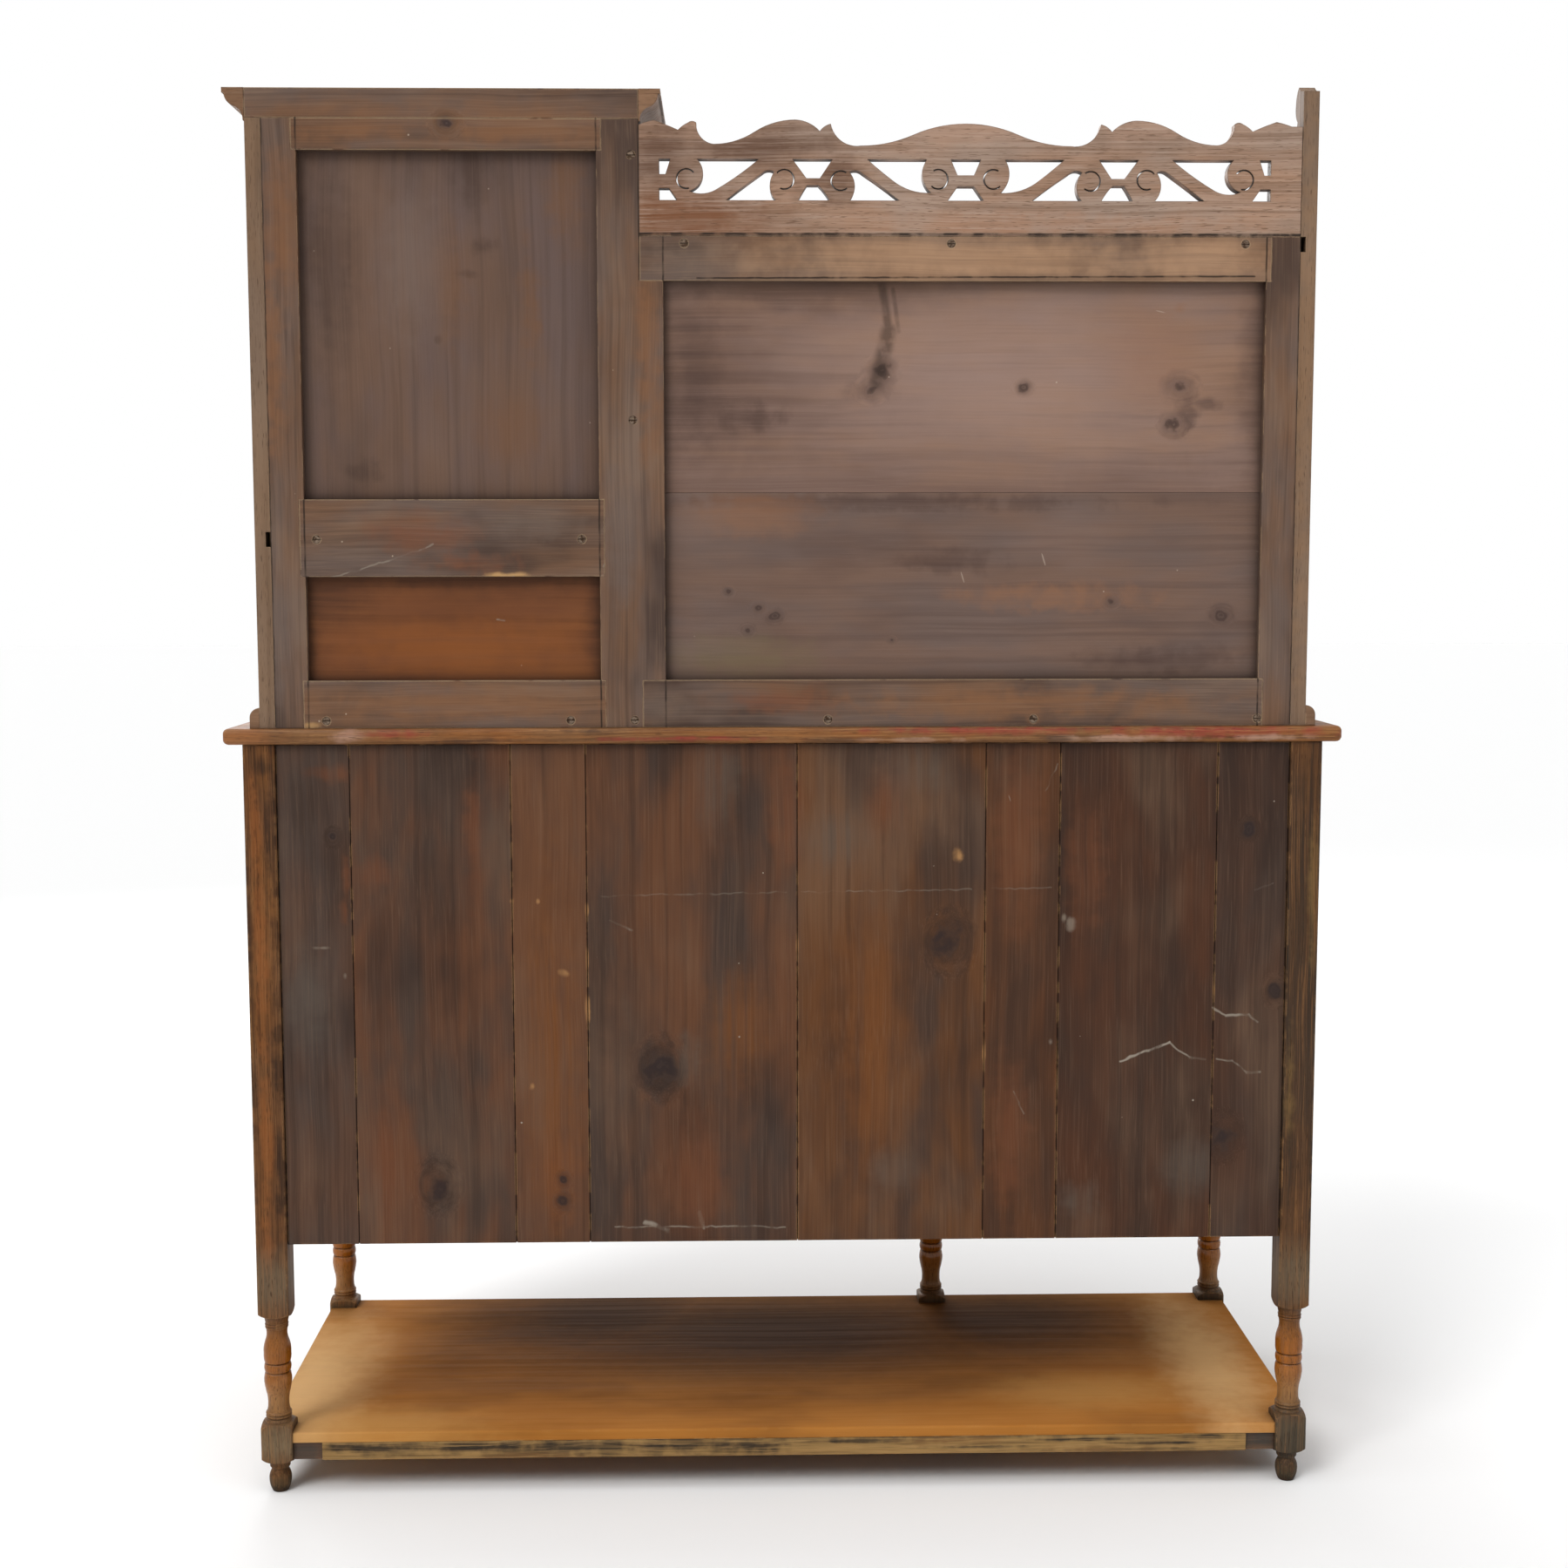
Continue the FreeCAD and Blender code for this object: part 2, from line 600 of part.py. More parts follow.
# Pot board and what carries it
pot_y = (front_y + POT_BOARD_INSET, back_y - POT_BOARD_INSET)
pot_z = (POT_BOARD_TOP - POT_BOARD_THICKNESS, POT_BOARD_TOP)
pot_rail_z = (pot_z[0] - POT_RAIL_HEIGHT, pot_z[0])
pot_back_rail_y = (pot_y[1] - BATTEN_THICKNESS - POT_RAIL_THICKNESS, pot_y[1] - BATTEN_THICKNESS)
pot_front_rail_y = (pot_y[0], pot_y[0] + POT_RAIL_THICKNESS)


def make_pot_board():
    """Board with its top edges eased at the front and back, notched round the legs."""
    reach = leg_out - POT_BOARD_INSET
    r = POT_BOARD_ROUND
    slack = r * (1 - math.sqrt(0.5))
    steps = ((pot_y[1], pot_z[0]), (pot_y[1], pot_z[1] - r),
             ((pot_y[1] - slack, pot_z[1] - slack), (pot_y[1] - r, pot_z[1])), (pot_y[0] + r, pot_z[1]),
             ((pot_y[0] + slack, pot_z[1] - slack), (pot_y[0], pot_z[1] - r)))
    board = slab(on_yz(-reach), (pot_y[0], pot_z[0]), steps, V(2 * reach, 0, 0))
    return cut(board, leg_squares)


def make_pot_rails():
    half = POT_RAIL_THICKNESS / 2
    bearer_x = (middle_leg_x - half, middle_leg_x + half)
    bearer = box(bearer_x, (pot_front_rail_y[1], pot_back_rail_y[0]), pot_rail_z)
    end_bearer = tenoned((end_in, end_out), between_legs_y, pot_rail_z, 1)
    rails = [tenoned(bay, pot_front_rail_y, pot_rail_z, 0) for bay in (narrow_bay, wide_bay)]
    rails.append(tenoned((-leg_in, leg_in), pot_back_rail_y, pot_rail_z, 0))
    return rails + [cut(bearer, leg_squares), end_bearer, mirrored(end_bearer)]


def make_batten():
    reach = leg_in - BATTEN_END_GAP
    return box((-reach, reach), (pot_back_rail_y[1], pot_y[1]), pot_rail_z)


# Upper part: sides, boards and shelves
def make_cupboard_floor():
    x = (cupboard_bay[0] - HOUSING_DEPTH, cupboard_bay[1] + HOUSING_DEPTH)
    return box(x, upper_y, cupboard_floor_z)


def make_display_shelf():
    x = (-upper_in - HOUSING_DEPTH, cupboard_x + HOUSING_DEPTH)
    return box(x, (back_y - DISPLAY_SHELF_DEPTH, frame_y[0]), display_shelf_z)


def make_upper_boards():
    return [box((-upper_in, cupboard_x), upper_y, upper_board_z), box(cupboard_bay, upper_y, upper_board_z)]


def make_frieze():
    x = (cupboard_bay[0] - HOUSING_DEPTH, cupboard_bay[1] + HOUSING_DEPTH)
    return box(x, (upper_front, upper_front + SIDE_THICKNESS), (side_top - FRIEZE_HEIGHT, side_top))


def make_cupboard_shelf():
    low = cupboard_floor_z[1] + CUPBOARD_SHELF_RISE
    y = (upper_front + CUPBOARD_SHELF_SETBACK, frame_y[0])
    return box(cupboard_bay, y, (low, low + SHELF_THICKNESS))


def make_cupboard_cleats():
    top = cupboard_floor_z[1] + CUPBOARD_SHELF_RISE
    y = (upper_front + CUPBOARD_SHELF_SETBACK, frame_y[0])
    z = (top - CLEAT_HEIGHT, top)
    low, high = cupboard_bay
    return [box((low, low + CLEAT_WIDTH), y, z), box((high - CLEAT_WIDTH, high), y, z)]


def make_beads():
    """Ovolo beads along the foot of both ends."""
    low = WORKTOP_HEIGHT
    square = low + BEAD_HEIGHT - BEAD_PROJECTION
    bend = BEAD_PROJECTION * math.sqrt(0.5)
    steps = ((upper_out + BEAD_PROJECTION, low), (upper_out + BEAD_PROJECTION, square),
             ((upper_out + bend, square + bend), (upper_out, low + BEAD_HEIGHT)))
    bead = slab(on_xz(upper_front), (upper_out, low), steps, BACKWARDS * CUPBOARD_DEPTH)
    return [bead, mirrored(bead)]


# Cornice: an ogee with a fillet and a lip, mitred at the front corners
def cornice_steps(place):
    out = CORNICE_PROJECTION
    up = CORNICE_HEIGHT
    toe = out * CORNICE_TOE_SHARE
    lip = up * (1 - CORNICE_LIP_SHARE)
    fillet = out * (1 - CORNICE_FILLET_SHARE)
    ogee = s_curve((toe, toe), (fillet, lip), 1)
    points = ((toe, 0), (toe, toe)) + ogee + ((out, lip), (out, up), (0, up))

    def move(step):
        return tuple(move(point) for point in step) if isinstance(step[0], tuple) else place(step)

    return tuple(move(point) for point in points)


def make_cornice():
    bottom = side_top + CORNICE_RISE - CORNICE_HEIGHT
    out = CORNICE_PROJECTION
    tip = upper_front - out
    length = BACKWARDS * (back_y - tip)
    height = UP * CORNICE_HEIGHT

    right_steps = cornice_steps(lambda p: (upper_out + p[0], bottom + p[1]))
    right = slab(on_xz(tip), (upper_out, bottom), right_steps, length)
    right = right.cut(slab(on_xy(bottom), (upper_out, upper_front),
                           ((upper_out + out, tip), (upper_out, tip)), height))
    left_steps = cornice_steps(lambda p: (cupboard_x - p[0], bottom + p[1]))
    left = slab(on_xz(tip), (cupboard_x, bottom), left_steps, length)
    left = left.cut(slab(on_xy(bottom), (cupboard_x, upper_front),
                         ((cupboard_x - out, tip), (cupboard_x, tip)), height))
    front_steps = cornice_steps(lambda p: (upper_front - p[0], bottom + p[1]))
    width = V(CUPBOARD_WIDTH + 2 * out, 0, 0)
    front = slab(on_yz(cupboard_x - out), (upper_front, bottom), front_steps, width)
    front = front.cut(slab(on_xy(bottom), (upper_out, upper_front),
                           ((upper_out + out, tip), (upper_out + out, upper_front)), height))
    front = front.cut(slab(on_xy(bottom), (cupboard_x, upper_front),
                           ((cupboard_x - out, tip), (cupboard_x - out, upper_front)), height))
    return [front, right, left]


def make_cornice_back():
    return box((cupboard_x, upper_out), frame_y, (side_top, side_top + CORNICE_RISE))


def make_cupboard_top():
    return box((cupboard_x, upper_out), upper_y, (side_top, side_top + UPPER_BOARD_THICKNESS))


# Frame and panels of the upper back
def make_back_rails():
    left = muntin_x[1] - RAIL_STEP
    right = stile_in + RAIL_STEP
    rails = [box((left, right), frame_y, z) for z in (bottom_rail_z, middle_rail_z, top_rail_z)]
    lap_y = (at_share(frame_y, LAP_SHARE), frame_y[1])
    for z in (bottom_rail_z, open_rail_z):
        rail = box((-stile_in - RAIL_STEP, muntin_x[0]), frame_y, z)
        lap = box((muntin_x[0], cupboard_x), lap_y, z)
        rails.append(rail.fuse(lap).removeSplitter())
    return rails


def make_back_panels():
    y = (back_y - BACK_PANEL_RECESS - BACK_PANEL_THICKNESS, back_y - BACK_PANEL_RECESS)
    cupboard_span = (muntin_x[1] - PANEL_GROOVE, stile_in + PANEL_GROOVE)
    cupboard = box(cupboard_span, y, (middle_rail_z[1] - PANEL_GROOVE, top_rail_z[0] + PANEL_GROOVE))
    niche = box(cupboard_span, y, (bottom_rail_z[1] - PANEL_GROOVE, middle_rail_z[0] + PANEL_GROOVE))
    open_span = (-stile_in - PANEL_GROOVE, muntin_x[0] + PANEL_GROOVE)
    joint = at_share((bottom_rail_z[1], open_rail_z[0]), OPEN_PANEL_JOINT_SHARE)
    lower = box(open_span, y, (bottom_rail_z[1] - PANEL_GROOVE, joint))
    upper = box(open_span, y, (joint, open_rail_z[0] + PANEL_GROOVE))
    return [cupboard], [niche], [lower, upper]


def make_back_stiles(entering):
    """End stiles and the wide middle stile, cut for the rails and panels that enter them."""
    outer = box((stile_in, upper_in), frame_y, (WORKTOP_HEIGHT, side_top))
    far = box((-upper_in, -stile_in), frame_y, (WORKTOP_HEIGHT, open_top))
    middle = box((cupboard_x, muntin_x[1]), frame_y, (WORKTOP_HEIGHT, side_top))
    lapped = box((muntin_x[0], cupboard_x), frame_y, (WORKTOP_HEIGHT, open_top))
    middle = middle.fuse(lapped).removeSplitter()
    return [cut(stile, entering) for stile in (outer, middle, far)]


# Screws driven through the back
def make_screws():
    """Slotted screws and the plain blanks that bore their holes."""
    bottom_z = (upper_board_z[0] + upper_board_z[1]) / 2
    shelf_z = (display_shelf_z[0] + display_shelf_z[1]) / 2
    floor_z = (cupboard_floor_z[0] + cupboard_floor_z[1]) / 2
    side_x = cupboard_x + SIDE_THICKNESS / 2
    places = [(at_share((-upper_in, upper_in), share), bottom_z) for share in BOTTOM_SCREW_SHARES]
    places += [(at_share((-upper_in, cupboard_x), share), shelf_z) for share in SHELF_SCREW_SHARES]
    places += [(at_share((cupboard_x, upper_in), share), floor_z) for share in FLOOR_SCREW_SHARES]
    places += [(side_x, at_share((WORKTOP_HEIGHT, side_top), share)) for share in SIDE_SCREW_SHARES]
    screws = []
    holes = []
    for x, z in places:
        head = V(x, back_y - SCREW_SINK, z)
        shank = Part.makeCylinder(SCREW_SHANK_RADIUS, SCREW_LENGTH, head, -BACKWARDS)
        screw = Part.makeCylinder(SCREW_HEAD_RADIUS, SCREW_HEAD_DEPTH, head, -BACKWARDS)
        screw = screw.fuse(shank).removeSplitter()
        slot = box((x - SCREW_HEAD_RADIUS, x + SCREW_HEAD_RADIUS), (head.y - SCREW_SLOT_DEPTH, head.y),
                   (z - SCREW_SLOT_WIDTH / 2, z + SCREW_SLOT_WIDTH / 2))
        screws.append(screw.cut(slot))
        mouth = V(x, back_y, z)
        head_room = (SCREW_HEAD_RADIUS + SCREW_PLAY, SCREW_HEAD_DEPTH + SCREW_SINK)
        shank_room = (SCREW_SHANK_RADIUS + SCREW_PLAY, SCREW_LENGTH + SCREW_SINK)
        sink = Part.makeCylinder(*head_room, mouth, -BACKWARDS)
        holes.append(sink.fuse(Part.makeCylinder(*shank_room, mouth, -BACKWARDS)))
    return screws, holes


# Pierced gallery
def make_gallery():
    """Board with a scrolled cresting, pierced scrolls and saw kerfs, the same on both sides of its middle."""
    y = back_y - GALLERY_THICKNESS
    far_end = gallery_middle + upper_in - GALLERY_END_GAP
    through = BACKWARDS * GALLERY_THICKNESS

    def crest(name):
        along, height = CREST_SHARES[name]
        return (along * gallery_half, height * GALLERY_HEIGHT)

    def placed(side):
        return lambda p: V(gallery_middle + side * p[0], y, open_top + p[1])

    steps = (s_curve(crest("middle"), crest("valley"), 0)
             + ((crest("rise"), crest("leaf")), (crest("leaf_back"), crest("cusp")),
                (crest("shoulder"), crest("crest")))
             + s_curve(crest("crest"), crest("outer_valley"), 0)
             + ((crest("outer_rise"), crest("outer_leaf")),
                (crest("outer_leaf_top"), crest("outer_leaf_back")),
                (crest("outer_fall"), crest("outer_cusp")),
                (crest("end_rise"), crest("end_hump")), (crest("end_fall"), crest("end"))))
    end = crest("end")
    right = edges_of(placed(1), crest("middle"), steps + ((end[0], 0), (0, 0)))
    left = edges_of(placed(-1), crest("middle"), steps + ((far_end, end[1]), (far_end, 0), (0, 0)))
    outline = Part.Wire(Part.__sortEdges__(right + left))
    board = Part.Face(outline).extrude(through)

    def fret(point):
        return (point[0] * gallery_half, FRET_FOOT + point[1] * FRET_HEIGHT)

    def pierce(loop, side):
        points = [tuple(fret(p) for p in s) if isinstance(s[0], tuple) else fret(s) for s in loop]
        return slab(placed(side), points[0], points[1:], through)

    openings = [pierce(loop, side) for loop in FRET_SHARES for side in (-1, 1)]
    openings += [pierce(loop, 1) for loop in FRET_MIDDLE_SHARES]
    openings += [kerf(placed(side), fret(middle), turn, through)
                 for middle, turn in zip(KERF_SHARES, KERF_TURNS) for side in (-1, 1)]
    return cut(board, openings)


def kerf(place, middle, turn, through):
    """Curved saw cut round a scroll, from the start angle through the sweep."""
    start, sweep = (math.radians(angle) for angle in turn)

    def on_ring(radius, angle):
        return (middle[0] + radius * math.cos(angle), middle[1] + radius * math.sin(angle))

    inner = KERF_RADIUS - KERF_WIDTH / 2
    outer = KERF_RADIUS + KERF_WIDTH / 2
    end = start + sweep
    half = start + sweep / 2
    steps = ((on_ring(outer, half), on_ring(outer, end)), on_ring(inner, end),
             (on_ring(inner, half), on_ring(inner, start)))
    return slab(place, on_ring(outer, start), steps, through)


# Shaped end upright
def make_end_upright():
    top = UPRIGHT_HEIGHT
    foot = CUPBOARD_DEPTH
    nose = DISPLAY_SHELF_DEPTH + UPRIGHT_SHELF_NOSE
    waist = UPRIGHT_WAIST_DEPTH
    nose_low = display_shelf_z[0] - WORKTOP_HEIGHT - UPRIGHT_NOSE_MARGIN
    nose_high = display_shelf_z[1] - WORKTOP_HEIGHT + UPRIGHT_NOSE_MARGIN
    foot_top = UPRIGHT_FOOT_HEIGHT + UPRIGHT_FOOT_CURVE
    depth = UPRIGHT_TOP_DEPTH
    neck = (depth * UPRIGHT_NECK_SHARE, top - UPRIGHT_NECK_DROP)
    notch = (depth * UPRIGHT_NOTCH_SHARE, top - UPRIGHT_NOTCH_DROP)
    tip = (depth, top - UPRIGHT_TIP_DROP)
    horn = (depth * UPRIGHT_HORN_SHARE, top + UPRIGHT_HORN)
    notch_bend = ((neck[0] + notch[0]) / 2 - UPRIGHT_HORN / 4, (neck[1] + notch[1]) / 2 - UPRIGHT_HORN / 4)
    tip_bend = (depth, (notch[1] + tip[1]) / 2)
    horn_bend = ((depth + horn[0]) / 2 + UPRIGHT_HORN / 4, (tip[1] + horn[1]) / 2 + UPRIGHT_HORN / 4)
    back_bend = (horn[0] / 2, top + UPRIGHT_HORN / 4)
    steps = (((foot, 0), (foot, UPRIGHT_FOOT_HEIGHT))
             + s_curve((foot, UPRIGHT_FOOT_HEIGHT), (waist, foot_top), 1)
             + ((waist, nose_low - UPRIGHT_NOSE_CURVE),)
             + s_curve((waist, nose_low - UPRIGHT_NOSE_CURVE), (nose, nose_low), 1)
             + ((nose, nose_high),)
             + s_curve((nose, nose_high), neck, 1)
             + ((notch_bend, notch), (tip_bend, tip), (horn_bend, horn), (back_bend, (0, top))))

    def place(point):
        return V(-upper_out, back_y - point[0], WORKTOP_HEIGHT + point[1])

    return slab(place, (0, 0), steps, V(SIDE_THICKNESS, 0, 0))


def through_back(board_z, x):
    """The part of a housing that runs on past the shelf, through to the back edge of a side."""
    return box(x, (frame_y[0], back_y), board_z)


# Butt hinges
def make_hinge(post_x, face_y, side, z):
    """Frame leaf, pin and door leaf of a hinge; the door lies on the given side of the post."""
    axis_x = post_x + side * DOOR_GAP / 2
    axis_y = face_y - KNUCKLE_RADIUS - KNUCKLE_CLEARANCE
    third = HINGE_HEIGHT / 3
    bottom = z - HINGE_HEIGHT / 2
    height = (bottom, bottom + HINGE_HEIGHT)
    moving_z = (bottom + third + KNUCKLE_GAP / 2, bottom + 2 * third - KNUCKLE_GAP / 2)
    fixed_zs = ((bottom, bottom + third - KNUCKLE_GAP / 2),
                (bottom + 2 * third + KNUCKLE_GAP / 2, bottom + HINGE_HEIGHT))

    def barrel(radius, ends):
        return Part.makeCylinder(radius, ends[1] - ends[0], V(axis_x, axis_y, ends[0]), UP)

    def plate(way):
        near = axis_x + way * LEAF_PLAY / 2
        far = near + way * LEAF_THICKNESS
        return box((min(near, far), max(near, far)), (axis_y, face_y + HINGE_LEAF), height)

    clear = KNUCKLE_RADIUS + KNUCKLE_GAP
    bore = barrel(PIN_RADIUS + PIN_PLAY, height)
    fixed = plate(-side).cut(barrel(clear, (moving_z[0] - KNUCKLE_GAP, moving_z[1] + KNUCKLE_GAP)))
    fixed = fixed.fuse([barrel(KNUCKLE_RADIUS, ends) for ends in fixed_zs]).cut(bore).removeSplitter()
    moving = cut(plate(side), [barrel(clear, (fixed_zs[0][0], moving_z[0])),
                               barrel(clear, (moving_z[1], fixed_zs[1][1]))])
    moving = moving.fuse(barrel(KNUCKLE_RADIUS, moving_z)).cut(bore).removeSplitter()
    return fixed, barrel(PIN_RADIUS, height), moving


# Doors: framed, with a fielded panel
def make_door(bay, z, face_y, side):
    """Frame, panel and hinges of a door hung on the low X side (1) or the high X side (-1) of its bay."""
    x = (bay[0] + DOOR_GAP, bay[1] - DOOR_GAP)
    z = (z[0] + DOOR_GAP, z[1] - DOOR_GAP)
    y = (face_y, face_y + DOOR_THICKNESS)
    inner_x = (x[0] + DOOR_STILE, x[1] - DOOR_STILE)
    inner_z = (z[0] + DOOR_STILE, z[1] - DOOR_STILE)
    rails = [tenoned(inner_x, y, ends, 0) for ends in ((z[0], inner_z[0]), (inner_z[1], z[1]))]

    middle = face_y + DOOR_THICKNESS / 2
    panel_y = (middle - DOOR_PANEL_EDGE / 2, middle + DOOR_PANEL_EDGE / 2)
    panel_x = (inner_x[0] - PANEL_GROOVE, inner_x[1] + PANEL_GROOVE)
    panel_z = (inner_z[0] - PANEL_GROOVE, inner_z[1] + PANEL_GROOVE)
    panel = box(panel_x, panel_y, panel_z)
    margin = DOOR_FIELD_MARGIN
    field_y = panel_y[1] - DOOR_PANEL_FIELD
    field = Part.makeWedge(inner_x[0] + margin, field_y, inner_z[0] + margin, inner_z[0], inner_x[0],
                           inner_x[1] - margin, panel_y[0], inner_z[1] - margin, inner_z[1], inner_x[1])
    panel = panel.fuse(field).removeSplitter()

    post_x = bay[0] if side > 0 else bay[1]
    hinges = [make_hinge(post_x, face_y, side, at_share(z, share)) for share in HINGE_SHARES]
    leaves = [hinge[2] for hinge in hinges]
    stiles = [box((x[0], inner_x[0]), y, z), box((inner_x[1], x[1]), y, z)]
    stiles = [cut(stile, rails + [panel] + leaves) for stile in stiles]
    rails = [rail.cut(panel) for rail in rails]
    free_x = x[1] - DOOR_STILE / 2 if side > 0 else x[0] + DOOR_STILE / 2
    return {
        "frame": stiles + rails, "panel": [panel], "leaves": leaves,
        "fixed": [hinge[0] for hinge in hinges], "pins": [hinge[1] for hinge in hinges],
        "back": y[1], "z": z, "free_x": free_x, "knob_z": at_share(z, KNOB_HEIGHT_SHARE), "face": face_y,
    }


# Knobs
def knob_shape(face, x, z, stem):
    """Turned knob on a face that looks forwards, with a round stem behind it."""
    rings = [tuple(share * KNOB_LENGTH for share in ring) for ring in KNOB_SHARES]
    knob = turned(rings, BACKWARDS)
    peg = Part.makeCylinder(SPINDLE_RADIUS, stem, V(0, KNOB_LENGTH, 0), BACKWARDS)
    knob = knob.fuse(peg).removeSplitter()
    knob.translate(V(x, face - KNOB_LENGTH, z))
    return knob


def spindle_hole(x, z, y):
    return Part.makeCylinder(SPINDLE_RADIUS + SPINDLE_PLAY, y[1] - y[0], V(x, y[0], z), BACKWARDS)


def make_catch(door):
    """Knob on a spindle that turns an arm behind the door, and the bore it turns in."""
    x = door["free_x"]
    z = door["knob_z"]
    face = door["face"] - KNOB_LIFT
    arm_y = (door["back"] + CATCH_GAP, door["back"] + CATCH_GAP + CATCH_THICKNESS)
    knob = knob_shape(face, x, z, arm_y[0] - face)
    square = SPINDLE_SQUARE / 2
    tail = box((x - square, x + square), arm_y, (z - square, z + square))
    half = CATCH_WIDTH / 2
    arm = box((x - half, x + half), arm_y, (z - CATCH_LENGTH, z + CATCH_TAIL)).cut(tail)
    return [knob.fuse(tail).removeSplitter(), arm], spindle_hole(x, z, (door["face"], door["back"]))


def catch_pocket(door, way):
    """Room for a catch in the post that it turns into."""
    x = door["free_x"]
    z = door["knob_z"]
    reach = x + way * (CATCH_LENGTH + POCKET_PLAY)
    y = (door["back"] + CATCH_GAP - POCKET_PLAY, door["back"] + CATCH_GAP + CATCH_THICKNESS + POCKET_PLAY)
    return box((min(x, reach), max(x, reach)), y, (z - CATCH_LENGTH, z + CATCH_WIDTH / 2 + POCKET_PLAY))


# Bolt of the middle door
def make_bolt(door):
    """Sliding bolt, the case that carries it and the square mortice that it shoots into."""
    x = door["free_x"] + DOOR_STILE / 2 - BOLT_INSET
    top = door["z"][1] - BOLT_DROP
    plate_y = (door["back"], door["back"] + BOLT_PLATE)
    sleeve_y = (plate_y[1], plate_y[1] + SLEEVE_WIDTH)
    axis = plate_y[1] + SLEEVE_WIDTH / 2
    half = SLEEVE_WIDTH / 2
    case_high = top - BOLT_DROP
    case_low = top - BOLT_LENGTH + BOLT_DROP
    rod = Part.makeCylinder(BOLT_RADIUS, BOLT_LENGTH, V(x, axis, top - BOLT_LENGTH), UP)
    low_sleeve = (case_low, case_low + SLEEVE_HEIGHT)
    thumb_z = low_sleeve[1] + THUMB_PLAY + BOLT_RADIUS
    thumb = Part.makeCylinder(BOLT_RADIUS, half + THUMB_REACH, V(x, axis, thumb_z), BACKWARDS)
    plate = box((x - half, x + half), plate_y, (case_low, case_high))
    sleeves = [box((x - half, x + half), sleeve_y, ends)
               for ends in (low_sleeve, (case_high - SLEEVE_HEIGHT, case_high))]
    bore = Part.makeCylinder(BOLT_RADIUS + BOLT_PLAY, BOLT_LENGTH, V(x, axis, top - BOLT_LENGTH), UP)
    case = plate.fuse(sleeves).removeSplitter().cut(bore)
    room = BOLT_RADIUS + BOLT_HOLE_PLAY
    hole = box((x - room, x + room), (axis - room, axis + room), (top, top + BOLT_TRAVEL + DOOR_GAP))
    return rod.fuse(thumb).removeSplitter(), case, hole


# Drawers: dovetailed boxes that run on the runners
def make_drawer(bay, knob_shares):
    x = (bay[0] + DRAWER_GAP, bay[1] - DRAWER_GAP)
    z = (drawer_low + DRAWER_PLAY, drawer_high - DRAWER_GAP)
    side_z = (z[0], z[1] - DRAWER_TOP_ROOM)
    front_back = front_y + DRAWER_FRONT
    rear = board_front - DRAWER_BACK_ROOM
    c = DRAWER_CHAMFER
    steps = ((x[1] - c, front_y), (x[1], front_y + c), (x[1], front_back), (x[0], front_back),
             (x[0], front_y + c))
    front = slab(on_xy(z[0]), (x[0] + c, front_y), steps, UP * (z[1] - z[0]))

    sides = []
    for low in (x[0], x[1] - DRAWER_SIDE):
        side = box((low, low + DRAWER_SIDE), (front_back, rear), side_z)
        sides.append(side.fuse(dovetails(low, front_back, side_z)).removeSplitter())
    inside = (x[0] + DRAWER_SIDE, x[1] - DRAWER_SIDE)
    bottom_z = (z[0] + DRAWER_BOTTOM_RISE, z[0] + DRAWER_BOTTOM_RISE + DRAWER_BOTTOM)
    back = box(inside, (rear - DRAWER_SIDE, rear), (bottom_z[1], side_z[1]))
    bottom_x = (inside[0] - DRAWER_GROOVE, inside[1] + DRAWER_GROOVE)
    bottom = box(bottom_x, (front_back - DRAWER_GROOVE, rear), bottom_z)

    knob_z = (z[0] + z[1]) / 2
    places = [at_share(x, share) for share in knob_shares]
    knobs = [knob_shape(front_y, place, knob_z, DRAWER_FRONT) for place in places]
    holes = [spindle_hole(place, knob_z, (front_y, front_back)) for place in places]
    front = cut(front, sides + [bottom] + holes)
    sides = [side.cut(bottom) for side in sides]
    return [front], sides + [back, bottom], knobs


def dovetails(low, front_back, side_z):
    """Tails on the front end of a drawer side, wider at their ends than at their roots."""
    pitch = (side_z[1] - side_z[0]) / TAIL_COUNT
    tip = front_back - TAIL_LENGTH
    tails = []
    for number in range(TAIL_COUNT):
        middle = side_z[0] + pitch * number + pitch / 2
        root = pitch * TAIL_ROOT_SHARE / 2
        wide = pitch * TAIL_END_SHARE / 2
        corners = ((tip, middle - wide), (tip, middle + wide), (front_back, middle + root))
        tails.append(slab(on_yz(low), (front_back, middle - root), corners, V(DRAWER_SIDE, 0, 0)))
    return tails


# Everything that enters another piece is made first, then what receives it is cut
doors = {
    "left": make_door(narrow_bay, (door_low, door_high), front_y, 1),
    "upper": make_door(cupboard_bay, (cupboard_floor_z[1], side_top - FRIEZE_HEIGHT), upper_front, -1),
}
pair_middle = (wide_bay[0] + wide_bay[1]) / 2
doors["middle"] = make_door((wide_bay[0], pair_middle + DOOR_GAP / 2), (door_low, door_high), front_y, 1)
doors["right"] = make_door((pair_middle - DOOR_GAP / 2, wide_bay[1]), (door_low, door_high), front_y, -1)
hinge_leaves = [leaf for door in doors.values() for leaf in door["fixed"]]
hinge_pins = [pin for door in doors.values() for pin in door["pins"]]

catches = {}
for place in ("left", "right", "upper"):
    catches[place], catch_bore = make_catch(doors[place])
    doors[place]["frame"] = [piece.cut(catch_bore) for piece in doors[place]["frame"]]
bolt, bolt_case, bolt_hole = make_bolt(doors["middle"])

